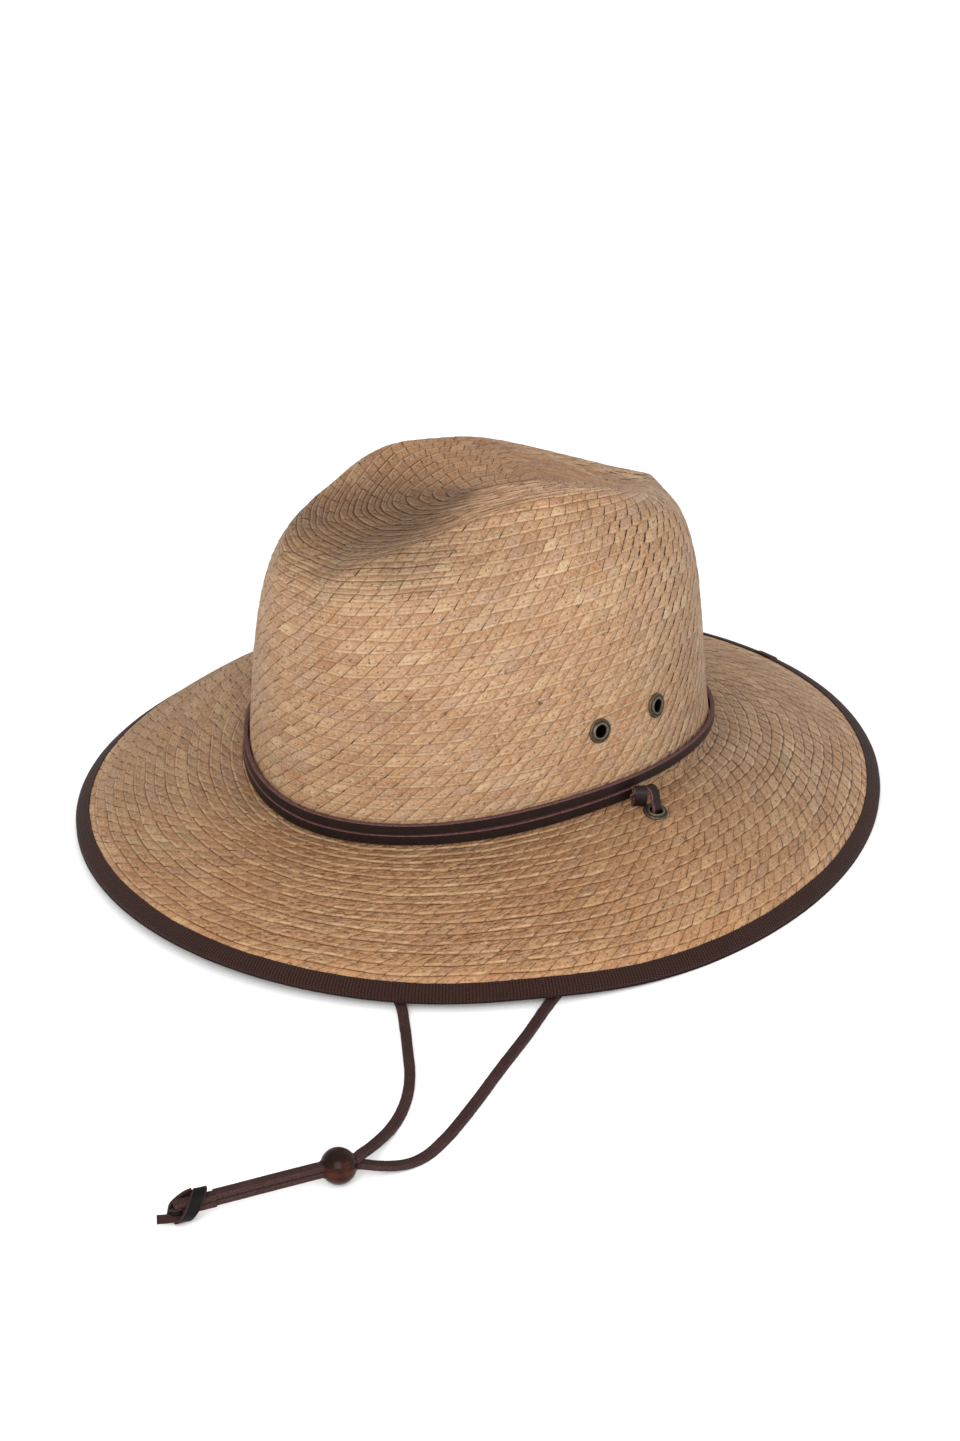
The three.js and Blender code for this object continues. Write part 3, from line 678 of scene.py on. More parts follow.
def straw_material(name, painted_shade_factor=1.0):
    mat, nt, bsdf = nodes_of(name)
    g = Graph(nt)
    u, v, _ = g.split(g.uv("cells"))
    tn = nt.nodes.new("ShaderNodeAttribute")
    tn.attribute_name = "tone"
    # the tone attribute's red channel holds painted shade and painted light as well as the straw's own lightness
    light, openness, greyness = g.split(tn.outputs["Color"])
    ci, cj = g.math("FLOOR", u), g.math("FLOOR", v)
    fu, fv = g.math("FRACT", u), g.math("FRACT", v)
    brimness = g.smooth(v, CROWN_ROWS - 0.02, CROWN_ROWS + 0.02)
    insideness = g.math("SUBTRACT", 1.0, g.smooth(v, 8.5, 13.5))
    zn = nt.nodes.new("ShaderNodeAttribute")
    zn.attribute_name = "zone"
    flank, weave, worn = g.split(zn.outputs["Color"])
    scales = g.math("MULTIPLY", worn, brimness)
    worn = g.math("MULTIPLY", worn, g.math("SUBTRACT", 1.0, brimness))
    pleat = zn.outputs["Alpha"]
    mid_crown = g.math("MULTIPLY", g.math("SUBTRACT", 1.0, brimness), g.math("SUBTRACT", 1.0, insideness))
    r1, rc = g.white(g.join(ci, cj, 3.0))
    r2, _ = g.white(g.join(ci, cj, 11.0))
    r3, _ = g.white(g.join(ci, cj, 23.0))
    # strips run on under their neighbours, so some pairs share a tone
    r4, _ = g.white(g.join(g.math("FLOOR", g.math("MULTIPLY", g.math("ADD", ci, cj), 0.5)), cj, 5.0))
    tone = g.math("ADD", g.math("MULTIPLY", r1, 0.6), g.math("MULTIPLY", r4, 0.4))
    base = g.ramp(tone, [
        (0.0, srgb(172, 130, 98)[:3]), (0.16, srgb(188, 145, 109)[:3]), (0.42, srgb(199, 157, 119)[:3]),
        (0.68, srgb(206, 166, 127)[:3]), (0.88, srgb(216, 179, 139)[:3]), (1.0, srgb(226, 192, 150)[:3])])
    pink = g.smooth(r2, 0.80, 0.88)
    base = g.mix(g.math("MULTIPLY", pink, 0.5), base, srgb(184, 147, 128))
    green = g.smooth(r3, 0.91, 0.95)
    base = g.mix(g.math("MULTIPLY", green, 0.45), base, srgb(172, 150, 112))
    # orange-brown drifts that follow the rows
    drift = g.noise(g.join(g.math("MULTIPLY", u, 0.16), g.math("MULTIPLY", v, 0.42)), 1.0, 4.0, 0.62)
    base = g.mix(g.math("MULTIPLY", g.smooth(drift, 0.46, 0.66), 0.50), base, srgb(184, 134, 92))
    pale = g.noise(g.join(g.math("MULTIPLY", u, 0.22), g.math("MULTIPLY", v, 0.55), 9.0), 1.0, 3.0, 0.6)
    base = g.mix(g.math("MULTIPLY", g.smooth(pale, 0.52, 0.70), 0.28), base, srgb(224, 194, 158))
    # painted shade, with some staining: a strip is drawn darker where it goes under the next one and under the row
    # above
    dive_shade = g.math("MULTIPLY", g.smooth(g.math("ADD", fu, g.math("MULTIPLY", fv, -0.35)), 0.30, 0.95), 0.34)
    base = g.mix(dive_shade, base, srgb(170, 122, 84))
    head_shade = g.math("MULTIPLY", g.math("SUBTRACT", 1.0, g.smooth(fv, 0.04, 0.42)), 0.34)
    base = g.mix(head_shade, base, srgb(162, 114, 76))
    # fibres
    fib = g.noise(g.join(g.math("MULTIPLY", g.math("ADD", u, g.math("MULTIPLY", fv, 0.35)), 30.0),
                         g.math("MULTIPLY", v, 1.8), r1), 1.0, 3.0, 0.6)
    fib2 = g.noise(g.join(g.math("MULTIPLY", u, 2.6), g.math("MULTIPLY", g.math("ADD", v, g.math("MULTIPLY", fu, 0.22)), 26.0), r2), 1.0, 4.0, 0.65)
    base = g.mix(g.math("MULTIPLY", g.smooth(fib, 0.48, 0.78), 0.24), base, srgb(158, 114, 80))
    base = g.mix(g.math("MULTIPLY", g.smooth(fib2, 0.52, 0.80), 0.42), base, srgb(232, 206, 172))
    base = g.mix(g.math("MULTIPLY", g.smooth(g.math("SUBTRACT", 1.0, fib2), 0.54, 0.80), 0.38), base, srgb(150, 104, 68))
    # specks and stains
    wide = g.noise(g.obj(), 14.0, 4.0, 0.65)
    base = g.mix(g.math("MULTIPLY", g.smooth(wide, 0.48, 0.72), 0.26), base, srgb(170, 126, 92))
    fine = g.noise(g.obj(), 1100.0, 3.0, 0.65)
    base = g.mix(g.math("MULTIPLY", g.smooth(fine, 0.52, 0.74), 0.42), base, srgb(150, 106, 74))
    base = g.mix(g.math("MULTIPLY", g.smooth(g.math("SUBTRACT", 1.0, fine), 0.56, 0.76), 0.30), base, srgb(236, 212, 184))
    micro = g.noise(g.obj(), 820.0, 2.0, 0.6)
    base = g.mix(g.math("MULTIPLY", g.smooth(micro, 0.55, 0.68), 0.46), base, srgb(146, 104, 72))
    base = g.mix(g.math("MULTIPLY", g.smooth(g.math("SUBTRACT", 1.0, micro), 0.55, 0.68), 0.34), base, srgb(240, 218, 190))
    spots = g.noise(g.obj(), 420.0, 2.0, 0.55)
    base = g.mix(g.math("MULTIPLY", g.smooth(spots, 0.655, 0.71), 0.62), base, srgb(92, 58, 38))
    # folded lip drawn pale, partly its own colour and partly a painted highlight on the raised edge, with a thin line
    # of stitching behind it
    lip_and_highlight = g.math("MULTIPLY", g.smooth(fv, 0.78, 0.85), g.math("SUBTRACT", 1.0, g.smooth(fv, 0.95, 0.985)))
    lipn = g.noise(g.join(g.math("MULTIPLY", u, 1.7), g.math("MULTIPLY", v, 3.0), 2.0), 1.0, 3.0, 0.6)
    lip_and_highlight = g.math("MULTIPLY", lip_and_highlight, g.smooth(g.math("SUBTRACT", lipn, g.math("MULTIPLY", brimness, 0.10)), 0.30, 0.58))
    lip_and_highlight = g.math("MULTIPLY", lip_and_highlight, g.math("SUBTRACT", 1.0, g.math("MULTIPLY", flank, 0.6)))
    lb, _ = g.white(g.join(ci, cj, 47.0))
    lip_and_highlight = g.math("MULTIPLY", lip_and_highlight, g.math("SUBTRACT", 1.0, g.math("MULTIPLY", brimness, g.math("MULTIPLY", g.math("LESS_THAN", lb, 0.48), 0.85))))
    lip_and_highlight = g.math("MULTIPLY", lip_and_highlight, g.math("SUBTRACT", 1.0, g.math("MULTIPLY", mid_crown, 0.45)))
    base = g.mix(g.math("MULTIPLY", lip_and_highlight, g.math("ADD", g.math("SUBTRACT", 0.50, g.math("MULTIPLY", brimness, 0.28)), g.math("MULTIPLY", weave, 0.52))), base,
                 g.mix(scales, srgb(236, 208, 172), srgb(240, 218, 190)))
    # pleats: a second sharp edge half-way down each row, drawn as a painted shadow line with a painted highlight just
    # above it
    f2 = g.math("ADD", fv, g.math("MULTIPLY", g.math("SUBTRACT", lipn, 0.5), 0.16))
    pleat_shadow_line = g.math("MULTIPLY", g.smooth(f2, 0.42, 0.455), g.math("SUBTRACT", 1.0, g.smooth(f2, 0.475, 0.56)))
    pleat_shadow_line = g.math("MULTIPLY", pleat_shadow_line, pleat)
    base = g.mix(g.math("MULTIPLY", pleat_shadow_line, 0.62), base, srgb(86, 56, 36))
    pleat_highlight = g.math("MULTIPLY", g.math("MULTIPLY", g.smooth(f2, 0.30, 0.38), g.math("SUBTRACT", 1.0, g.smooth(f2, 0.41, 0.43))), pleat)
    base = g.mix(g.math("MULTIPLY", pleat_highlight, 0.40), base, srgb(232, 204, 168))
    crease = g.math("SUBTRACT", 1.0, g.smooth(g.math("ABSOLUTE", g.math("SUBTRACT", fv, 0.755)), 0.01, 0.045))
    base = g.mix(g.math("MULTIPLY", crease, g.math("SUBTRACT", 0.26, g.math("MULTIPLY", flank, 0.16))), base, srgb(140, 96, 62))
    rear = g.math("MULTIPLY", g.smooth(greyness, 0.9, 1.8), scales)
    # painted shadow: the top of each row, under the lip of the row above, is drawn dark
    seam_shadow = g.math("SUBTRACT", 1.0, g.smooth(g.math("MULTIPLY", g.math("SUBTRACT", fv, g.math("ADD", g.math("MULTIPLY", insideness, 0.05), g.math("MULTIPLY", brimness, 0.035))), g.math("SUBTRACT", 1.0, g.math("MULTIPLY", g.math("MAXIMUM", weave, rear), 0.45))), 0.015, 0.095))
    seam_shadow = g.math("MULTIPLY", seam_shadow, g.math("SUBTRACT", 1.0, g.math("MULTIPLY", mid_crown, g.math("SUBTRACT", 0.45, g.math("MULTIPLY", pleat, 0.45)))))
    seam_shadow = g.math("MINIMUM", 1.0, g.math("MULTIPLY", seam_shadow, g.math("ADD", 1.0, g.math("MULTIPLY", g.math("MAXIMUM", g.math("MULTIPLY", scales, 0.5), pleat), 0.5))))
    gapn = g.noise(g.join(g.math("MULTIPLY", u, 1.1), g.math("MULTIPLY", cj, 3.7), 27.0), 1.0, 2.0, 0.6)
    seam_shadow = g.math("MULTIPLY", seam_shadow, g.math("SUBTRACT", 1.0, g.math("MULTIPLY", weave, g.math("MULTIPLY", g.smooth(gapn, 0.44, 0.56), 0.70))))
    # rows that are bunched together show only every second edge, but darkly, with a painted shadow in the gap under it
    odd = g.math("MODULO", cj, 2.0)
    broken = g.smooth(g.noise(g.join(g.math("MULTIPLY", u, 0.9), cj, 19.0), 1.0, 2.0, 0.5), 0.40, 0.52)
    seam_shadow = g.math("MULTIPLY", seam_shadow, g.math("SUBTRACT", 1.0, g.math("MULTIPLY", worn, g.math("SUBTRACT", 1.0, g.math("MULTIPLY", odd, broken)))))
    groove = g.math("MULTIPLY", g.math("MULTIPLY", worn, g.math("MULTIPLY", odd, broken)), g.math("SUBTRACT", 1.0, g.smooth(fv, 0.34, 0.48)))
    base = g.mix(g.math("MULTIPLY", groove, 0.90), base, srgb(58, 36, 24))
    base = g.mix(g.math("MULTIPLY", seam_shadow, g.math("SUBTRACT", 0.84, g.math("MULTIPLY", flank, 0.34))), base, g.mix(brimness, srgb(112, 72, 44), srgb(86, 54, 34)))
    # painted shade: a thin dark line along the underside of each row's lip
    under = g.smooth(fv, 0.975, 0.993)
    under = g.math("MULTIPLY", under, g.math("SUBTRACT", 1.0, g.math("MULTIPLY", worn, 0.8)))
    under = g.math("MULTIPLY", under, g.math("SUBTRACT", 1.0, g.math("MULTIPLY", mid_crown, g.math("SUBTRACT", 0.55, g.math("MULTIPLY", g.smooth(lipn, 0.5, 0.62), 0.45)))))
    base = g.mix(g.math("MULTIPLY", under, g.math("SUBTRACT", 0.85, g.math("MULTIPLY", flank, 0.30))), base, srgb(92, 58, 36))
    # slanted joints between cells, broken here and there
    du = g.math("MINIMUM", fu, g.math("SUBTRACT", 1.0, fu))
    jn = g.noise(g.join(g.math("ROUND", u), g.math("MULTIPLY", v, 4.0), 7.0), 1.0, 2.0, 0.5)
    dj = g.math("SUBTRACT", du, g.math("ADD", g.math("MULTIPLY", flank, 0.055), g.math("MULTIPLY", rear, 0.030)))
    joint = g.math("SUBTRACT", 1.0, g.smooth(dj, 0.004, 0.028))
    jd = g.math("MULTIPLY", joint, g.math("ADD", 0.30, g.math("MULTIPLY", g.smooth(jn, 0.35, 0.62), 0.50)))
    jd = g.math("MULTIPLY", jd, g.math("ADD", g.math("SUBTRACT", 0.85, g.math("MULTIPLY", weave, 0.55)), g.math("MULTIPLY", g.math("MAXIMUM", flank, g.math("MULTIPLY", scales, 0.3)), 0.6)), clamp=True)
    dash = g.math("MULTIPLY", g.smooth(fv, 0.08, 0.26), g.math("SUBTRACT", 1.0, g.smooth(fv, 0.78, 0.94)))
    jd = g.math("MULTIPLY", jd, g.math("SUBTRACT", 1.0, g.math("MULTIPLY", flank, g.math("SUBTRACT", 0.75, g.math("MULTIPLY", dash, 0.75)))))
    base = g.mix(jd, base, g.mix(g.math("MAXIMUM", flank, g.math("MULTIPLY", scales, 0.7)), srgb(106, 68, 42), srgb(42, 25, 15)))
    base = g.mix(g.math("MULTIPLY", g.math("MULTIPLY", g.smooth(du, 0.12, 0.30), g.smooth(fv, 0.30, 0.62)), g.math("MULTIPLY", scales, 0.10)), base, srgb(230, 202, 170))
    dp = g.math("ADD", du, g.math("MULTIPLY", scales, 0.008))
    pit = g.math("MULTIPLY", g.math("SUBTRACT", 1.0, g.smooth(dp, 0.012, 0.05)), g.smooth(fv, 0.45, 0.80))
    rnd, _ = g.white(g.join(g.math("ROUND", u), cj, 31.0))
    pit = g.math("MULTIPLY", pit, g.smooth(g.math("ADD", rnd, g.math("MULTIPLY", openness, 0.75)), 0.66, 1.10))
    pit = g.math("MULTIPLY", pit, g.math("SUBTRACT", 1.0, g.math("MULTIPLY", weave, 0.55)))
    base = g.mix(g.math("MULTIPLY", pit, 0.92), base, srgb(40, 26, 18))
    # crumpled strips on the front of the brim: dark wedges and pale folds, painted shade and painted highlights on flat
    # strips
    crum = g.noise(g.join(g.math("MULTIPLY", u, 2.8), g.math("ADD", g.math("MULTIPLY", v, 5.2), g.math("MULTIPLY", fu, 2.2)), 4.0), 1.0, 1.5, 0.6)
    body = g.math("MULTIPLY", g.math("SUBTRACT", 1.0, g.smooth(fv, 0.66, 0.76)), g.smooth(fv, 0.10, 0.18))
    wedge_shade = g.math("MULTIPLY", g.math("MULTIPLY", g.smooth(crum, 0.53, 0.60), body), g.math("ADD", g.math("MULTIPLY", weave, 0.62), g.math("MULTIPLY", brimness, 0.08)))
    base = g.mix(wedge_shade, base, srgb(108, 72, 46))
    fold = g.math("MULTIPLY", g.math("MULTIPLY", g.smooth(g.math("SUBTRACT", 1.0, crum), 0.54, 0.60), body), g.math("MULTIPLY", weave, 0.42))
    base = g.mix(fold, base, srgb(226, 196, 160))
    # one needle hole in a cell, and a short pale stitch
    px = g.math("SUBTRACT", fu, g.math("ADD", 0.42, g.math("MULTIPLY", r2, 0.22)))
    py = g.math("SUBTRACT", fv, g.math("ADD", 0.50, g.math("MULTIPLY", r3, 0.2)))
    d2 = g.math("ADD", g.math("MULTIPLY", g.math("MULTIPLY", px, px), 3.0), g.math("MULTIPLY", py, py))
    halo = g.math("SUBTRACT", 1.0, g.smooth(d2, 0.004, 0.022))
    base = g.mix(g.math("MULTIPLY", halo, 0.30), base, srgb(168, 112, 72))
    hole = g.math("SUBTRACT", 1.0, g.smooth(d2, 0.0010, 0.0050))
    base = g.mix(g.math("MULTIPLY", hole, 0.75), base, srgb(96, 58, 36))
    sy = g.math("ABSOLUTE", g.math("SUBTRACT", fv, 0.70))
    st = g.math("MULTIPLY", g.math("SUBTRACT", 1.0, g.smooth(sy, 0.012, 0.045)),
                g.math("MULTIPLY", g.smooth(fu, 0.52, 0.57), g.math("SUBTRACT", 1.0, g.smooth(fu, 0.84, 0.90))))
    st = g.math("MULTIPLY", st, g.smooth(r3, 0.3, 0.5))
    base = g.mix(g.math("MULTIPLY", st, 0.55), base, srgb(240, 222, 196))
    # worn ridge: paler and greyer
    rub = g.noise(g.join(g.math("MULTIPLY", u, 0.7), g.math("MULTIPLY", v, 1.3), 14.0), 1.0, 2.0, 0.6)
    base = g.mix(g.math("MULTIPLY", worn, g.math("MULTIPLY", g.smooth(rub, 0.50, 0.58), 0.46)), base, srgb(236, 206, 172))
    base = g.mix(g.math("MULTIPLY", worn, g.math("MULTIPLY", g.smooth(g.math("SUBTRACT", 1.0, rub), 0.52, 0.57), 0.38)), base, srgb(104, 70, 46))
    # overall tone, with the painted shade and painted light carried in the tone attribute and the painted shade of the
    # inside copy
    grey = g.mix(g.math("MULTIPLY", greyness, 0.45), (1, 1, 1, 1), (0.90, 0.99, 1.10, 1))
    base = g.mix(1.0, base, grey, "MULTIPLY")
    warm = g.mix(brimness, (1, 1, 1, 1), (1.05, 0.96, 0.86, 1))
    warm = g.mix(insideness, warm, (0.97, 0.86, 0.78, 1))
    base = g.mix(1.0, base, warm, "MULTIPLY")
    k = g.math("MULTIPLY", light, painted_shade_factor)
    base = g.mix(1.0, base, g.join(g.math("MULTIPLY", k, STRAW_TINT[0]), g.math("MULTIPLY", k, STRAW_TINT[1]),
                                   g.math("MULTIPLY", k, STRAW_TINT[2])), "MULTIPLY")
    nt.links.new(base, bsdf.inputs["Base Color"])
    rough = g.math("ADD", 0.46, g.math("MULTIPLY", g.noise(g.obj(), 300.0, 2.0), 0.24))
    nt.links.new(rough, bsdf.inputs["Roughness"])
    bsdf.inputs["Specular IOR Level"].default_value = 0.14
    h = g.math("ADD", g.math("MULTIPLY", fib, 0.4), g.math("MULTIPLY", fib2, 0.9))
    h = g.math("SUBTRACT", h, g.math("MULTIPLY", joint, 1.6))
    h = g.math("SUBTRACT", h, g.math("MULTIPLY", pleat_shadow_line, 2.5))
    h = g.math("SUBTRACT", h, g.math("MULTIPLY", hole, 1.6))
    h = g.math("SUBTRACT", h, g.math("MULTIPLY", crease, 0.5))
    h = g.math("ADD", h, g.math("MULTIPLY", st, 0.9))
    h = g.math("ADD", h, g.math("MULTIPLY", fine, 0.8))
    nt.links.new(g.bump(h, 0.75, 0.00025), bsdf.inputs["Normal"])
    return mat


STRAW_TINT = (0.60, 0.60, 0.59)
STRAW = straw_material("straw_braid")
# painted shade: the copy for the hat's inside and the brim's underside is drawn 8% darker
STRAW_UNDER = straw_material("straw_braid_inside", 0.92)


def straw_piece(name, first, last, side, mat):
    V, F, U, TN, ZN = straw_strips(first, last, side)
    ob = mesh_object(name, V, F)
    for key, vals in (("tone", np.concatenate([TN, np.ones((len(TN), 1))], axis=1)), ("zone", ZN)):
        att = ob.data.color_attributes.new(key, "FLOAT_COLOR", "POINT")
        att.data.foreach_set("color", vals.astype(np.float32).ravel())
    set_uv(ob, uv_per_loop=U)
    ob.data.materials.append(mat)
    return ob


crown_out = straw_piece("straw_crown_outer", 0, CROWN_ROWS, 1, STRAW)
brim_out = straw_piece("straw_brim_outer", CROWN_ROWS, TOTAL_ROWS, 1, STRAW)
crown_in = straw_piece("straw_crown_inner", 0, CROWN_ROWS, -1, STRAW_UNDER)
brim_in = straw_piece("straw_brim_under", CROWN_ROWS, TOTAL_ROWS, -1, STRAW_UNDER)
for ob in (crown_out, brim_out, crown_in, brim_in):
    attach(ob, "root")
    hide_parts("straw_body")

# ------------------------------------------------------------------ tapes
def catmull(points, spacing=0.5, closed=False):
    """Centripetal Catmull-Rom through the points, evenly resampled."""
    p = np.asarray(points, dtype=float)
    if closed:
        ext = np.vstack([p[-1], p, p[0], p[1]])
    else:
        ext = np.vstack([2 * p[0] - p[1], p, 2 * p[-1] - p[-2]])
    out = []
    for i in range(1, len(ext) - 2):
        a, b, c, d = ext[i - 1:i + 3]
        t0 = 0.0
        t1 = t0 + max(np.linalg.norm(b - a), 1e-6) ** 0.5
        t2 = t1 + max(np.linalg.norm(c - b), 1e-6) ** 0.5
        t3 = t2 + max(np.linalg.norm(d - c), 1e-6) ** 0.5
        t = np.linspace(t1, t2, 24, endpoint=False)[:, None]
        a1 = (t1 - t) / (t1 - t0) * a + (t - t0) / (t1 - t0) * b
        a2 = (t2 - t) / (t2 - t1) * b + (t - t1) / (t2 - t1) * c
        a3 = (t3 - t) / (t3 - t2) * c + (t - t2) / (t3 - t2) * d
        b1 = (t2 - t) / (t2 - t0) * a1 + (t - t0) / (t2 - t0) * a2
        b2 = (t3 - t) / (t3 - t1) * a2 + (t - t1) / (t3 - t1) * a3
        out.append((t2 - t) / (t2 - t1) * b1 + (t - t1) / (t2 - t1) * b2)
    q = np.vstack(out + [ext[-2][None]])
    s = np.concatenate([[0], np.cumsum(np.linalg.norm(np.diff(q, axis=0), axis=1))])
    n = max(3, int(round(s[-1] / spacing)) + 1)
    m = np.linspace(0, s[-1], n)
    r = np.stack([np.interp(m, s, q[:, k]) for k in range(3)], axis=1)
    return r[:-1] if closed else r


def tape_section(w, t, r=0.35, across=6):
    """(side, out, q) round the section; q counts the four faces: grain 0-1,
    cut edge 1-2, flesh 2-3, cut edge 3-4."""
    a, b = w / 2, t / 2
    r = min(r, a * 0.9, b * 0.9)
    pts = []
    for k in range(across + 1):
        f = k / across
        pts.append((-a + r + (2 * a - 2 * r) * f, b, f * 0.999))
    for k in (1, 2):
        f = math.radians(90 - 30 * k)
        pts.append((a - r + r * math.cos(f), b - r + r * math.sin(f), 1.0 + 0.08 * k))
    pts.append((a, 0.0, 1.5))
    for k in (1, 2):
        f = math.radians(-30 * k)
        pts.append((a - r + r * math.cos(f), -b + r + r * math.sin(f), 1.76 + 0.08 * k))
    for k in range(across + 1):
        f = k / across
        pts.append((a - r - (2 * a - 2 * r) * f, -b, 2.0 + f * 0.999))
    for k in (1, 2):
        f = math.radians(270 - 30 * k)
        pts.append((-a + r + r * math.cos(f), -b + r + r * math.sin(f), 3.0 + 0.08 * k))
    pts.append((-a, 0.0, 3.5))
    for k in (1, 2):
        f = math.radians(180 - 30 * k)
        pts.append((-a + r + r * math.cos(f), b - r + r * math.sin(f), 3.76 + 0.08 * k))
    pts.append((-a + r, b, 4.0))
    return np.array(pts)


def tape(P, N, w, t, closed=False, r=0.35, taper=None, rough=0.0, seed=1):
    """Flat tape along P with its grain face towards N: vertices, faces, uv
    per loop (u in mm along, v = face number / 4)."""
    P = np.asarray(P, dtype=float)
    n = len(P)
    if closed:
        T_ = unit(np.roll(P, -1, axis=0) - np.roll(P, 1, axis=0))
    else:
        T_ = unit(np.gradient(P, axis=0))
    N = np.broadcast_to(np.asarray(N, dtype=float), P.shape)
    S = unit(np.cross(T_, N))
    U = unit(np.cross(S, T_))
    sec = tape_section(w, t, r)
    K = len(sec)
    scale = np.ones(n) if taper is None else taper
    rg = np.random.default_rng(seed)
    ring = (P[:, None] + S[:, None] * (sec[None, :, 0:1] * scale[:, None, None])
            + U[:, None] * sec[None, :, 1:2])
    if rough:
        # cut edges are slightly uneven
        wob = np.convolve(rg.normal(0, 1, n + 8), np.ones(3) / 3, "same")[4:4 + n] * rough
        wob2 = np.convolve(rg.normal(0, 1, n + 8), np.ones(3) / 3, "same")[4:4 + n] * rough
        left = np.clip(-sec[:, 0] / (w / 2), 0, 1) ** 4
        rightw = np.clip(sec[:, 0] / (w / 2), 0, 1) ** 4
        ring += S[:, None] * (rightw[None, :, None] * wob[:, None, None] - left[None, :, None] * wob2[:, None, None])
    V = ring.reshape(-1, 3)
    d = np.linalg.norm(np.diff(P, axis=0, append=P[:1]), axis=1)
    s = np.concatenate([[0], np.cumsum(d)])
    F, UVL = [], []
    last = n if closed else n - 1
    for i in range(last):
        i2 = (i + 1) % n
        for k in range(K - 1):
            F.append((i * K + k, i * K + k + 1, i2 * K + k + 1, i2 * K + k))
            q0, q1 = sec[k, 2] / 4, sec[k + 1, 2] / 4
            UVL += [(s[i], q0), (s[i], q1), (s[i + 1], q1), (s[i + 1], q0)]
    if not closed:
        for i, flip in ((0, False), (n - 1, True)):
            idx = [i * K + k for k in range(K - 1)]
            if not flip:
                idx = idx[::-1]
            F.append(tuple(idx))
            UVL += [(s[i], 0.375 + 0.0001 * k) for k in range(len(idx))]
    return V, F, UVL


def join_tapes(name, parts, mat):
    V, F, UVL, base = [], [], [], 0
    for v, f, u in parts:
        V.append(v)
        F += [tuple(np.array(x) + base) for x in f]
        UVL += list(u)
        base += len(v)
    V = np.vstack(V)
    ob = mesh_object(name, V, [tuple(int(i) for i in x) for x in F])
    set_uv(ob, uv_per_loop=np.array(UVL), name="tape")
    ob.data.materials.append(mat)
    return ob


def leather_material(name, grain, edge, flesh, grain_rough=0.42, weave=1.0, gloss=0.16):
    mat, nt, bsdf = nodes_of(name)
    g = Graph(nt)
    u, v, _ = g.split(g.uv("tape"))
    q = g.math("MULTIPLY", v, 4.0)
    is_grain = g.math("MAXIMUM", g.math("LESS_THAN", q, 1.02), g.math("GREATER_THAN", q, 3.98))
    is_flesh = g.math("MULTIPLY", g.math("GREATER_THAN", q, 1.98), g.math("LESS_THAN", q, 3.02))
    fine = g.noise(g.obj(), 2600.0, 3.0, 0.65)
    mid = g.noise(g.obj(), 700.0, 3.0, 0.6)
    wide = g.noise(g.obj(), 90.0, 2.0, 0.5)
    # smooth side: nearly black, a little lighter where it is rubbed
    gcol = g.mix(g.math("MULTIPLY", g.smooth(mid, 0.48, 0.72), 0.45), srgb(*grain),
                 srgb(*[min(255, c * 1.35 + 8) for c in grain]))
    gcol = g.mix(g.math("MULTIPLY", g.smooth(wide, 0.45, 0.7), 0.35), gcol,
                 srgb(*[min(255, c * 1.25 + 5) for c in grain]))
    dark = [c * 0.55 for c in edge]
    ecol = g.mix(g.smooth(fine, 0.38, 0.62), srgb(*dark), srgb(*edge))
    ecol = g.mix(g.math("MULTIPLY", g.smooth(mid, 0.5, 0.7), 0.4), ecol, srgb(*[min(255, c * 1.2) for c in edge]))
    darkf = [c * 0.62 for c in flesh]
    fcol = g.mix(g.smooth(fine, 0.36, 0.64), srgb(*darkf), srgb(*flesh))
    fcol = g.mix(g.math("MULTIPLY", g.smooth(mid, 0.52, 0.74), 0.5), fcol, srgb(*[min(255, c * 1.3) for c in flesh]))
    col = g.mix(is_flesh, ecol, fcol)
    col = g.mix(is_grain, col, gcol)
    nt.links.new(col, bsdf.inputs["Base Color"])
    rg_ = g.math("ADD", g.math("MULTIPLY", is_grain, grain_rough - 0.9), 0.9)
    rg_ = g.math("ADD", rg_, g.math("MULTIPLY", g.math("SUBTRACT", mid, 0.5), 0.12))
    nt.links.new(rg_, bsdf.inputs["Roughness"])
    bsdf.inputs["Specular IOR Level"].default_value = gloss
    h = g.math("ADD", g.math("MULTIPLY", fine, 1.0), g.math("MULTIPLY", mid, 0.9))
    amount = g.math("ADD", 0.35, g.math("MULTIPLY", g.math("SUBTRACT", 1.0, is_grain), 1.4 * weave))
    nt.links.new(g.bump(g.math("MULTIPLY", h, amount), 0.5, 0.00018), bsdf.inputs["Normal"])
    return mat


LACE_MAT = leather_material("lace_leather", (24, 13, 11), (104, 70, 67), (66, 42, 39), 0.42)
BLACK_MAT = leather_material("knot_leather", (12, 9, 9), (62, 42, 40), (54, 35, 32), 0.46, 1.0, 0.08)
SUEDE_MAT = leather_material("cord_suede", (47, 31, 29), (68, 48, 46), (46, 30, 28), 0.86, 1.2, 0.10)
STRAND_MAT = leather_material("knot_strands", (47, 31, 29), (68, 48, 46), (46, 30, 28), 0.86, 1.2, 0.10)

# ------------------------------------------------------------------ laces
LACE_H, LACE_T = 4.2, 1.9
TT = np.arange(1440) * 2 * math.pi / 1440


def wall_at(t, z):
    """Point on the crown wall at angle t and height z (arrays)."""
    lines = crown_lines(t, 8, 260)[:, 8:]
    out = np.empty((len(t), 3))
    for i in range(len(t)):
        ln = lines[i]
        k = np.where((ln[:-1, 2] >= z[i]) & (ln[1:, 2] <= z[i]))[0]
        if len(k):
            k = k[-1]
            f = (ln[k, 2] - z[i]) / (ln[k, 2] - ln[k + 1, 2])
            out[i] = ln[k] * (1 - f) + ln[k + 1] * f
        else:
            out[i] = ln[-1]
    return out


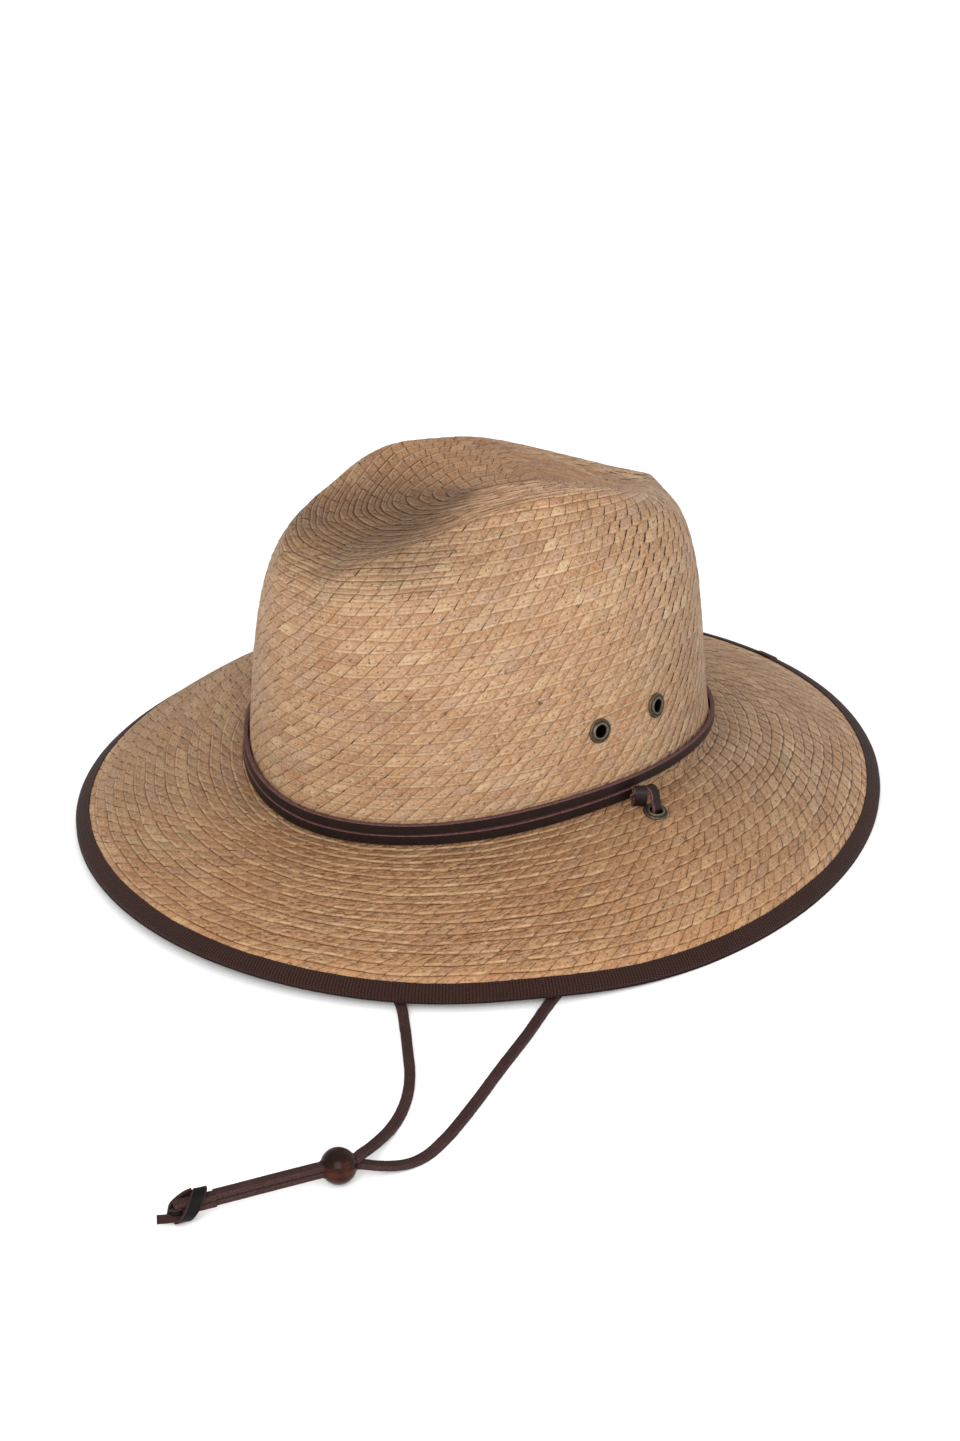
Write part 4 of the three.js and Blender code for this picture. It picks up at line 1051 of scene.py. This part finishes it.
def around(t):
    e = 0.01
    ax, ay = crown_oval(t + e)
    bx, by = crown_oval(t - e)
    tan = unit(np.stack([ax - bx, ay - by, np.zeros_like(ax)], axis=1))
    n = np.stack([tan[:, 1], -tan[:, 0], np.zeros_like(ax)], axis=1)
    p = np.stack([ax + bx, ay + by, np.zeros_like(ax)], axis=1)
    flip = (n * p).sum(axis=1) < 0
    n[flip] *= -1
    return tan, n


def lace_path(t, drop, out):
    z = lace_top(t) - drop - LACE_H / 2
    p = wall_at(t, z)
    _, n = around(t)
    p = p + n * (0.62 + LACE_T / 2 + out)[:, None]
    p[:, 2] = z
    return p, n


wav = 0.10 * np.sin(3 * TT + 0.6) + 0.08 * np.sin(7 * TT + 2.0)
P, N = lace_path(TT, wav * 0.8, 0.10 + 0.10 * np.sin(5 * TT))
upper = join_tapes("band_lace_upper_fine", [tape(P, N, LACE_H, LACE_T, True, 0.3, rough=0.035, seed=3)], LACE_MAT)
deg = np.radians(np.linspace(-86.0, 86.0, 700))
drop = 4.5 + 0.06 * np.sin(9 * deg) + 0.5 * np.exp(-((np.degrees(deg) - 62) / 14) ** 2) * 0.3
P, N = lace_path(deg, drop, 0.10 + 0.16 * np.sin(4 * deg + 1.0) ** 2)
lower = join_tapes("band_lace_lower_fine", [tape(P, N, LACE_H, LACE_T, False, 0.3, rough=0.035, seed=4)], LACE_MAT)
for ob, node in ((upper, "band_lace_upper"), (lower, "band_lace_lower")):
    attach(ob, "root")
    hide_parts(node)


# ------------------------------------------------------------------ side knots
def side_knot(sign, seat_name, node):
    seat_p, seat_n = SEATS[seat_name]
    parts = []
    t0 = np.array([math.radians(87.0 if sign > 0 else 273.0)])
    tan, n = around(t0)
    tan, n = tan[0] * sign, n[0]              # tan points to the back on both sides
    zc = 39.0
    c = np.array([sign * 92.1, -6.7, zc])
    # the turn round the lower lace, a little wider at the top
    a = np.linspace(0, 2 * math.pi, 56, endpoint=False)
    turn = math.radians(38)
    ax, ac = tan * math.cos(turn) + n * math.sin(turn), n * math.cos(turn) - tan * math.sin(turn)
    up = np.array([0, 0, 1.0])
    for rn_, rz_, off, wide_, lean_, seed in ((2.35, 3.7, 0.9, 5.6, 0.4, 11), (1.2, 2.4, 0.7, 5.0, -0.3, 13)):
        ring = ((c + n * off)[None] + ac[None] * (rn_ * np.cos(a))[:, None] + up[None] * (rz_ * np.sin(a))[:, None]
                + ax[None] * (lean_ * np.sin(a))[:, None])
        rn = unit(ac[None] * (np.cos(a) / rn_)[:, None] + up[None] * (np.sin(a) / rz_)[:, None])
        if sign > 0:
            ring, rn = ring[::-1], rn[::-1]
        parts.append(tape(ring, rn, wide_, 1.15, True, 0.3, rough=0.10, seed=seed + (sign > 0)))
    # the lace's own end, folded up behind the turn
    tip = [c - tan * 5.2 + n * 1.1 + np.array([0, 0, 1.6]), c - tan * 3.2 + n * 1.3 + np.array([0, 0, 1.9]),
           c - tan * 1.0 + n * 1.2 + np.array([0, 0, 1.8])]
    tp = catmull(tip, 0.4)
    parts.append(tape(tp, n, 1.5, 0.8, False, 0.2, rough=0.05, seed=15))
    # the lead: out of the turn's top, over, and down through the eyelet
    top = c + tan * 1.2
    route = [top + np.array([0, 0, 1.2]) + n * 0.6, top + tan * 1.2 + n * 1.2 + np.array([0, 0, 2.5]),
             top + tan * 2.2 + n * 2.9 + np.array([0, 0, 3.4]), top + tan * 2.3 + n * 5.0 + np.array([0, 0, 2.6]),
             top + tan * 1.4 + n * 6.9 + np.array([0, 0, 0.0]), seat_p + seat_n * 2.2 + n * 0.25,
             seat_p - seat_n * 1.0]
    lp = catmull(route, 0.35)
    T_ = unit(np.gradient(lp, axis=0))
    side = np.broadcast_to(tan, lp.shape)
    nn = unit(np.cross(side, T_))
    outward = (nn * (n + np.array([0, 0, 0.8]))).sum(axis=1)
    nn[outward < 0] *= -1
    parts.append(tape(lp, nn, 3.9, 1.5, False, 0.3, rough=0.07, seed=17))
    ob = join_tapes(node + "_fine", parts, LACE_MAT)
    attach(ob, "root")
    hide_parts(node)
    return ob


knot_l = side_knot(1, "brim_eyelet_left", "side_knot_left")
knot_r = side_knot(-1, "brim_eyelet_right", "side_knot_right")


# ------------------------------------------------------------------ eyelets
def brass_material():
    mat, nt, bsdf = nodes_of("eyelet_brass")
    g = Graph(nt)
    r, y, _ = g.split(g.uv("ring"))
    fine = g.noise(g.obj(), 2200.0, 3.0, 0.65)
    mid = g.noise(g.obj(), 500.0, 3.0, 0.6)
    col = g.mix(g.smooth(mid, 0.38, 0.62), srgb(50, 45, 36), srgb(82, 74, 59))
    # dark in the groove, worn on the rolled rim
    groove = g.math("SUBTRACT", 1.0, g.smooth(g.math("ABSOLUTE", g.math("SUBTRACT", r, 0.60)), 0.03, 0.12))
    col = g.mix(g.math("MULTIPLY", groove, 0.75), col, srgb(44, 38, 30))
    col = g.mix(g.smooth(r, 0.74, 0.95), col, srgb(84, 74, 58))
    col = g.mix(g.math("MULTIPLY", g.smooth(fine, 0.56, 0.70), 0.7), col, srgb(40, 34, 26))
    worn = g.math("MULTIPLY", g.smooth(r, 0.10, 0.28), g.math("SUBTRACT", 1.0, g.smooth(r, 0.34, 0.5)))
    col = g.mix(g.math("MULTIPLY", worn, 0.65), col, srgb(110, 100, 80))
    # painted shade: the barrel inside the hole is drawn nearly black
    barrel_shade = g.math("SUBTRACT", 1.0, g.smooth(r, 0.03, 0.10))
    col = g.mix(g.math("MULTIPLY", barrel_shade, 0.95), col, srgb(12, 10, 9))
    nt.links.new(col, bsdf.inputs["Base Color"])
    bsdf.inputs["Metallic"].default_value = 0.85
    nt.links.new(g.math("ADD", 0.34, g.math("MULTIPLY", mid, 0.22)), bsdf.inputs["Roughness"])
    nt.links.new(g.bump(g.math("ADD", fine, mid), 0.35, 0.00008), bsdf.inputs["Normal"])
    return mat


BRASS_MAT = brass_material()
# radius, height over the straw, and a share across the ring for the shading
EYELET_PROFILE = [(2.45, -3.0, 0.0), (2.42, -1.0, 0.0), (2.42, 0.4, 0.02), (2.48, 0.95, 0.08), (2.66, 1.28, 0.15),
                  (2.95, 1.42, 0.25), (3.25, 1.36, 0.34), (3.5, 1.14, 0.43), (3.68, 0.92, 0.52), (3.86, 0.86, 0.60),
                  (4.12, 0.98, 0.68), (4.38, 1.02, 0.76), (4.62, 0.94, 0.84), (4.84, 0.74, 0.92), (4.94, 0.48, 0.97),
                  (4.9, 0.30, 1.0), (4.6, 0.22, 1.0), (3.1, 0.2, 1.0)]
EYELET_BACK = [(2.45, -3.0, 0.0), (2.7, -3.25, 0.2), (3.3, -3.3, 0.4), (4.2, -3.15, 0.7), (4.4, -2.9, 0.9), (3.1, -2.6, 1.0)]


def eyelet(name):
    p, n = SEATS[name]
    ref = np.array([0, 0, 1.0]) if abs(n[2]) < 0.8 else np.array([0, 1.0, 0])
    e1 = unit(np.cross(ref, n))
    e2 = np.cross(n, e1)
    K = 72
    a = np.arange(K) * 2 * math.pi / K
    V, F, UV = [], [], []
    for prof in (EYELET_PROFILE, EYELET_BACK):
        base = len(V)
        for r, h, q in prof:
            # the set rim is split and pressed slightly unevenly
            wob = 0.03 * np.sin(5 * a + 1.3) + 0.02 * np.sin(9 * a)
            for k in range(K):
                rr = r + (wob[k] if r > 2.5 else 0)
                V.append(p + (e1 * math.cos(a[k]) + e2 * math.sin(a[k])) * rr + n * (h + 0.12))
                UV.append((q, k / K))
        for j in range(len(prof) - 1):
            for k in range(K):
                k2 = (k + 1) % K
                q = (base + j * K + k, base + (j + 1) * K + k, base + (j + 1) * K + k2, base + j * K + k2)
                F.append(q[::-1] if prof is EYELET_PROFILE else q)
    ob = mesh_object(name + "_fine", np.array(V), F)
    set_uv(ob, uv_per_vertex=np.array(UV), name="ring")
    ob.data.materials.append(BRASS_MAT)
    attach(ob, "root")
    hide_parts(name)
    return ob


for name in SEATS:
    eyelet(name)


# ------------------------------------------------------------------ binding
def binding_material():
    mat, nt, bsdf = nodes_of("binding_cloth")
    g = Graph(nt)
    u, v, _ = g.split(g.uv("weave"))          # millimetres along and across
    n1 = g.noise(g.join(u, v), 0.9, 3.0, 0.6)
    uu = g.math("ADD", u, g.math("MULTIPLY", n1, 0.35))
    # ribs across the tape with weft floats stepped along them
    rib = g.math("SINE", g.math("MULTIPLY", uu, 2 * math.pi / 1.25))
    step = g.math("SINE", g.math("MULTIPLY", g.math("ADD", v, g.math("MULTIPLY", uu, 0.5)), 2 * math.pi / 0.95))
    w = g.math("ADD", g.math("MULTIPLY", rib, 0.5), g.math("MULTIPLY", g.math("MULTIPLY", rib, step), 0.7))
    w = g.math("ADD", w, g.math("MULTIPLY", step, 0.25))
    fuzz = g.noise(g.obj(), 2500.0, 2.0, 0.7)
    cols = g.mix(g.smooth(w, -0.7, 0.9), srgb(12, 5, 4), srgb(64, 38, 31))
    cols = g.mix(g.math("MULTIPLY", g.smooth(fuzz, 0.5, 0.75), 0.5), cols, srgb(70, 45, 37))
    wide = g.noise(g.obj(), 60.0, 3.0, 0.55)
    cols = g.mix(g.math("MULTIPLY", g.smooth(wide, 0.4, 0.7), 0.3), cols, srgb(34, 20, 17))
    nt.links.new(cols, bsdf.inputs["Base Color"])
    bsdf.inputs["Roughness"].default_value = 0.92
    bsdf.inputs["Specular IOR Level"].default_value = 0.12
    bsdf.inputs["Sheen Weight"].default_value = 0.04
    bsdf.inputs["Sheen Roughness"].default_value = 0.5
    h = g.math("ADD", w, g.math("MULTIPLY", fuzz, 1.2))
    nt.links.new(g.bump(h, 0.6, 0.00016), bsdf.inputs["Normal"])
    return mat


BINDING_MAT = binding_material()
BIND_W = 5.9


def binding():
    """The cloth tape folded over the straw's edge, one turn from centre back
    with its end lapped over its start."""
    M = 1500
    t = math.pi + np.linspace(0, 2 * math.pi, M, endpoint=False)
    edge = brim_point(t, 1.0)
    inner = brim_point(t, 0.93)
    inward = unit(inner - edge)
    tan = unit(np.roll(edge, -1, axis=0) - np.roll(edge, 1, axis=0))
    n = unit(np.cross(tan, inward))
    n[n[:, 2] < 0] *= -1
    foot = foot_lift(t)
    rg = np.random.default_rng(21)
    smooth = lambda k, s: np.convolve(np.concatenate([x := rg.normal(0, 1, M), x[:k * 2]]), np.hanning(k) / np.hanning(k).sum(), "same")[k:k + M] * s
    wv = smooth(61, 1.0) * 0.55 + smooth(15, 1.0) * 0.12      # inner edge wanders
    puff = smooth(35, 1.0) * 0.22
    rows_ = []
    # distance inward from the straw's edge, height over its top face
    sec = [(BIND_W, 0.10), (BIND_W + 0.02, 0.42), (BIND_W - 0.25, 0.66), (BIND_W - 0.9, 0.74), (BIND_W - 1.5, 0.70),
           (4.0, 0.84), (3.0, 0.92), (2.0, 0.98), (1.0, 1.0), (0.2, 0.92), (-0.45, 0.68), (-0.9, 0.25), (-1.15, -0.3),
           (-1.2, -0.9), (-1.1, -1.5)]
    L = np.concatenate([[0], np.cumsum(np.linalg.norm(np.diff(edge, axis=0), axis=1))])
    across = [0.0]
    for (p0, q0), (p1, q1) in zip(sec[:-1], sec[1:]):
        across.append(across[-1] + math.hypot(p1 - p0, q1 - q0))
    lap = np.clip((L - (L[-1] - 9.0)) / 1.0, 0, 1) * 0.55     # the lapped end stands up
    for k, (p, q) in enumerate(sec):
        pp = p + (wv if k <= 4 else wv * max(0, (p - 1) / BIND_W)) * 1.0
        qq = q + puff * (0.5 if 3 < k < 12 else 0.15) + lap
        rows_.append(edge + inward * pp[:, None] + n * qq[:, None])
    # level under-side: the foot
    for p, z in ((-1.0, 0.30), (-0.7, 0.08), (0.0, 0.02), (0.8, 0.06)):
        v = edge + inward * p
        v[:, 2] = foot + z
        rows_.append(v)
        across.append(across[-1] + 0.6)
    for p, q in ((2.4, -3.05), (4.0, -3.1), (BIND_W - 0.3, -3.05), (BIND_W, -2.85), (BIND_W, -2.35)):
        pp = p + wv * max(0, (p - 1) / BIND_W)
        rows_.append(edge + inward * pp[:, None] + n * (q + puff * 0.1)[:, None])
        across.append(across[-1] + 1.4)
    R_ = len(rows_)
    ring = np.stack(rows_, axis=1)                 # (M, R_, 3)
    # the under-side never goes below the level foot
    ring[:, :, 2] = np.maximum(ring[:, :, 2], foot[:, None] + 0.02)
    ring = np.concatenate([ring, ring[:1]], axis=0)
    V = ring.reshape(-1, 3)
    i = np.repeat(np.arange(M), R_ - 1)
    k = np.tile(np.arange(R_ - 1), M)
    F = np.stack([i * R_ + k, i * R_ + k + 1, (i + 1) * R_ + k + 1, (i + 1) * R_ + k], axis=1)
    u = np.concatenate([L, [L[-1] + 0.7]])
    UV = np.stack([np.repeat(u, R_), np.tile(np.array(across), M + 1)], axis=1)
    ob = mesh_object("brim_binding_fine", V, F)
    set_uv(ob, uv_per_vertex=UV, name="weave")
    ob.data.materials.append(BINDING_MAT)
    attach(ob, "root")
    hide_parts("brim_binding")
    return ob


binding()

# ------------------------------------------------------------------ cords
CORD_W, CORD_T = 4.0, 2.2
FLAT = CORD_T / 2 + 0.05
LEFT_STRAND = [
    (101.2, -6.6, 22), (101.8, -7.4, 12), (102.8, -10.0, 5.0), (104.6, -15.5, 1.9),
    (108, -27, FLAT), (114, -46, FLAT), (121.5, -70, FLAT), (129.7, -93.7, FLAT),
    (139.2, -116.1, FLAT), (147.4, -137.2, FLAT), (154.8, -155.4, FLAT), (160.2, -169.2, FLAT),
    (164.8, -182.5, FLAT), (167.4, -194.2, FLAT), (167.1, -202.1, 1.6), (164.9, -208.9, 2.8),
    (162.1, -213.9, 4.1), (160.1, -216.6, 4.9), (158.46, -218.98, 5.35), (157.23, -222.04, 5.35),
    (154.77, -228.16, 5.35), (153.54, -231.22, 5.35), (150.79, -238.09, 5.3), (147.8, -245.5, 5.2),
    (144.8, -252.9, 5.05), (141.85, -260.4, 4.95), (139.4, -266.4, 4.85)]
RIGHT_STRAND = [
    (-101.2, -6.6, 22), (-101.4, -7.6, 12), (-100.6, -10.5, 5.0), (-98.2, -16, 1.9),
    (-92, -26, FLAT), (-75, -48, FLAT), (-50, -72, FLAT), (-20, -92, FLAT),
    (12, -106.5, FLAT), (45, -117, FLAT), (70, -124.5, FLAT), (90.3, -133.5, FLAT),
    (104.6, -144.4, FLAT), (115.6, -153.7, FLAT), (126.6, -163.2, FLAT), (135.3, -172.4, FLAT),
    (141.9, -181.6, FLAT), (147.4, -191.6, 1.9), (152.0, -201.6, 3.9), (155.9, -210.6, 6.4),
    (157.6, -215.8, 7.6), (158.46, -218.98, 7.85), (157.23, -222.04, 7.85),
    (154.77, -228.16, 7.85), (153.54, -231.22, 7.85), (150.79, -238.09, 7.8), (147.8, -245.5, 7.7),
    (144.8, -252.9, 7.55), (141.85, -260.4, 7.45), (139.4, -266.4, 7.35)]


def cord_frames(P):
    """Broad side level on the flat run and carried along where it drops."""
    T_ = unit(np.gradient(P, axis=0))
    side = np.array([0.0, 1.0, 0.0])
    S = np.empty_like(P)
    for i, tan in enumerate(T_):
        level = np.cross([0, 0, 1.0], tan)
        flat = np.linalg.norm(level)
        if flat > 0.35:
            level = level / flat
            if level @ side < 0:
                level = -level
            k = min(1.0, (flat - 0.35) * 2) * 0.35
            side = unit(side * (1 - k) + level * k)
        side = unit(side - tan * (side @ tan))
        S[i] = side
    N = unit(np.cross(T_, S))
    flip = N[len(N) // 2, 2] < 0
    return T_, S, (-N if flip else N)


def cord_piece(name, seat_name, table, node):
    p, n = SEATS[seat_name]
    route = [p - n * 0.75, p - n * 6] + list(table)
    P = catmull(route, 0.6)
    _, _, N = cord_frames(P)
    ob = join_tapes(name, [tape(P, N, CORD_W, CORD_T, False, 0.5, rough=0.05, seed=len(name))], SUEDE_MAT)
    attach(ob, "root")
    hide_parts(node)
    length = float(np.linalg.norm(np.diff(P, axis=0), axis=1).sum()) * MM
    path = [[float(x * MM), float((y + SHIFT_Y) * MM), float(z * MM)] for x, y, z in P[::3]]
    path.append([float(P[-1][0] * MM), float((P[-1][1] + SHIFT_Y) * MM), float(P[-1][2] * MM)])
    return ob, path, length


cord_l, path_l, len_l = cord_piece("chin_cord_left_fine", "brim_eyelet_left", LEFT_STRAND, "chin_cord_left")
cord_r, path_r, len_r = cord_piece("chin_cord_right_fine", "brim_eyelet_right", RIGHT_STRAND, "chin_cord_right")
print("cord lengths", round(len_l, 4), round(len_r, 4))


# ------------------------------------------------------------------ bead
def bead_material():
    mat, nt, bsdf = nodes_of("bead_wood")
    g = Graph(nt)
    x, y, z = g.split(g.uv("bead"))
    streak = g.noise(g.join(g.math("MULTIPLY", x, 14.0), g.math("MULTIPLY", y, 1.2)), 1.0, 4.0, 0.6, 0.4)
    wide = g.noise(g.join(g.math("MULTIPLY", x, 2.6), g.math("MULTIPLY", y, 0.8), 4.0), 1.0, 2.0, 0.5)
    col = g.ramp(g.math("ADD", g.math("MULTIPLY", wide, 0.7), g.math("MULTIPLY", streak, 0.3)), [
        (0.36, srgb(18, 9, 7)[:3]), (0.48, srgb(32, 16, 11)[:3]), (0.57, srgb(66, 31, 18)[:3]), (0.68, srgb(98, 46, 26)[:3])])
    pores = g.noise(g.join(g.math("MULTIPLY", x, 70.0), g.math("MULTIPLY", y, 9.0)), 1.0, 2.0, 0.5)
    col = g.mix(g.math("MULTIPLY", g.smooth(pores, 0.58, 0.7), 0.6), col, srgb(20, 10, 8))
    nt.links.new(col, bsdf.inputs["Base Color"])
    bsdf.inputs["Roughness"].default_value = 0.24
    bsdf.inputs["Specular IOR Level"].default_value = 0.06
    bsdf.inputs["Coat Weight"].default_value = 0.05
    bsdf.inputs["Coat Roughness"].default_value = 0.14
    nt.links.new(g.bump(g.math("ADD", pores, streak), 0.12, 0.0001), bsdf.inputs["Normal"])
    return mat


BEAD_C = np.array([156.0, -225.1, 6.6])
BEAD_A = unit(np.array([-0.3725, -0.928, 0.0]))


def bead():
    prof = [(2.75, -4.2), (2.72, -5.0), (2.85, -5.55), (3.2, -5.78)]
    for k in range(25):
        a = math.radians(-61 + 122 * k / 24)
        prof.append((6.5 * math.cos(a), 6.35 * math.sin(a)))
    prof += [(3.2, 5.78), (2.85, 5.55), (2.72, 5.0), (2.75, 4.2), (2.75, 0.0), (2.75, -4.2)]
    e1 = unit(np.cross(BEAD_A, [0, 0, 1.0]))
    e2 = np.cross(BEAD_A, e1)
    K = 64
    V, F, UV = [], [], []
    for r, h in prof:
        for k in range(K + 1):
            a = 2 * math.pi * k / K
            V.append(BEAD_C + BEAD_A * h + (e1 * math.cos(a) + e2 * math.sin(a)) * r)
            UV.append((k / K * 1.0, h / 13.0))
    for j in range(len(prof) - 1):
        for k in range(K):
            F.append((j * (K + 1) + k, (j + 1) * (K + 1) + k, (j + 1) * (K + 1) + k + 1, j * (K + 1) + k + 1))
    ob = mesh_object("chin_bead_fine", np.array(V), F)
    set_uv(ob, uv_per_vertex=np.array(UV), name="bead")
    ob.data.materials.append(bead_material())
    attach(ob, "root")
    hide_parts("chin_bead")
    return ob


bead_ob = bead()

# ------------------------------------------------------------------ end knot
KNOT_C = np.array([136.5, -275.5, 6.1])
KA = unit(np.array([-0.3725, -0.928, 0.0]))       # along the cords, outwards
KN = np.array([0.928, -0.3725, 0.0])              # to the open side
KZ = np.array([0.0, 0.0, 1.0])
ER = np.array([math.cos(AZ), math.sin(AZ), 0.0])
EB = np.array([math.sin(AZ) * math.cos(EL), -math.cos(AZ) * math.cos(EL), math.sin(EL)])
EU = np.cross(EB, ER)


def end_knot():
    parts, strands = [], []
    # the two cords run on inside the wraps
    for dz in (-1.25, 1.25):
        s = np.linspace(-9.6, 5.0, 24)
        P = KNOT_C + KA * s[:, None] + KZ * dz
        strands.append(tape(P, KZ, 3.9, 2.3, False, 0.5, seed=5))
    # broad wrap, slanting over the front and back up behind
    ph = np.radians([100, 60, 25, -10, -45, -80, -115, -150, -185, -222])
    ss = np.array([-4.7, -3.1, -1.1, 0.7, 2.2, 3.2, 1.4, -1.2, -3.4, -4.9])
    rn = np.array([3.6, 3.7, 3.9, 4.0, 4.1, 4.2, 3.9, 3.5, 3.4, 3.5])
    rz = np.array([4.9, 4.8, 4.6, 4.6, 4.9, 5.05, 5.0, 4.8, 4.8, 4.9])
    P = (KNOT_C + KA * ss[:, None] + KN * (rn * np.cos(ph))[:, None] + KZ * (rz * np.sin(ph))[:, None])
    P = catmull(P, 0.4, closed=True)
    d = P - KNOT_C
    N = unit(KN * (d @ KN / 16)[:, None] + KZ * (d @ KZ / 25)[:, None])
    parts.append(tape(P, N, 4.7, 1.15, True, 0.35, rough=0.05, seed=6))
    # loop that stands out at the far end of the knot
    at = lambda r, u, b: KNOT_C + ER * r + EU * u + EB * b
    loop = catmull([at(1.0, 4.2, -2.6), at(-1.6, 3.1, -1.6), at(-4.1, 1.3, -0.6), at(-6.1, -0.9, 0.3), at(-6.3, -2.5, 1.4),
                    at(-4.4, -2.6, 2.4), at(-1.6, -1.9, 2.4)], 0.35)
    T_ = unit(np.gradient(loop, axis=0))
    side = unit(EB * 0.50 + EU * 0.62 + ER * 0.15)
    N = unit(np.cross(np.broadcast_to(side, loop.shape), T_))
    away = ((loop - at(-2.6, -0.6, 0.8)) * N).sum(axis=1)
    N[away < 0] *= -1
    parts.append(tape(loop, N, 3.6, 1.0, False, 0.3, rough=0.05, seed=7))
    # short free end
    end = catmull([at(0.2, -2.9, 0.6), at(-3.2, -3.8, 1.6), at(-6.6, -4.3, 1.9), at(-10.2, -4.6, 1.8)], 0.35)
    nrm = unit(-(EB * 0.94 + EU * 0.34))
    parts.append(tape(end, nrm, 3.0, 1.5, False, 0.3, rough=0.07, seed=8))
    made = [join_tapes("end_knot_fine", parts, BLACK_MAT), join_tapes("end_knot_strands", strands, STRAND_MAT)]
    for ob in made:
        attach(ob, "root")
        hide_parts("end_knot")
    return made


knot_obs = end_knot()

# ------------------------------------------------------------------ stage
floor = mesh_object("floor", [(-3000, -3000, 0), (3000, -3000, 0), (3000, 3000, 0), (-3000, 3000, 0)],
                    [[0, 1, 2, 3]])
fmat, fnt, fb = nodes_of("floor_pale")
fb.inputs["Base Color"].default_value = (0.95, 0.95, 0.95, 1)
fb.inputs["Roughness"].default_value = 0.9
fb.inputs["Specular IOR Level"].default_value = 0.1
floor.data.materials.append(fmat)

world = bpy.data.worlds.new("world")
world.use_nodes = True
bpy.context.scene.world = world
bg = world.node_tree.nodes["Background"]
bg.inputs[0].default_value = (1.0, 1.0, 1.0, 1.0)
bg.inputs[1].default_value = 1.12


def area(name, loc, size, power, aim=(0, 0, 0.06), colour=(1, 1, 1)):
    d = bpy.data.lights.new(name, "AREA")
    d.shape = "SQUARE"
    d.size = size
    d.energy = power
    d.color = colour
    o = link(bpy.data.objects.new(name, d))
    o.location = loc
    v = Vector(aim) - Vector(loc)
    o.rotation_euler = v.to_track_quat("-Z", "Y").to_euler()
    return o


# a broad soft key from the front and low, with a weaker one on the right
# and an even, dimmer surround
key_dir = (right * -0.08 + back * 0.95 + Vector((0, 0, 0.08)))
area("key", tuple(key_dir * 1.6), 1.0, 18)
fill_dir = (right * 0.9 + back * 0.55 + Vector((0, 0, 0.1)))
area("fill", tuple(fill_dir * 1.8), 1.3, 4)

bpy.context.scene.view_settings.view_transform = "Standard"
bpy.context.scene.view_settings.exposure = 0.0
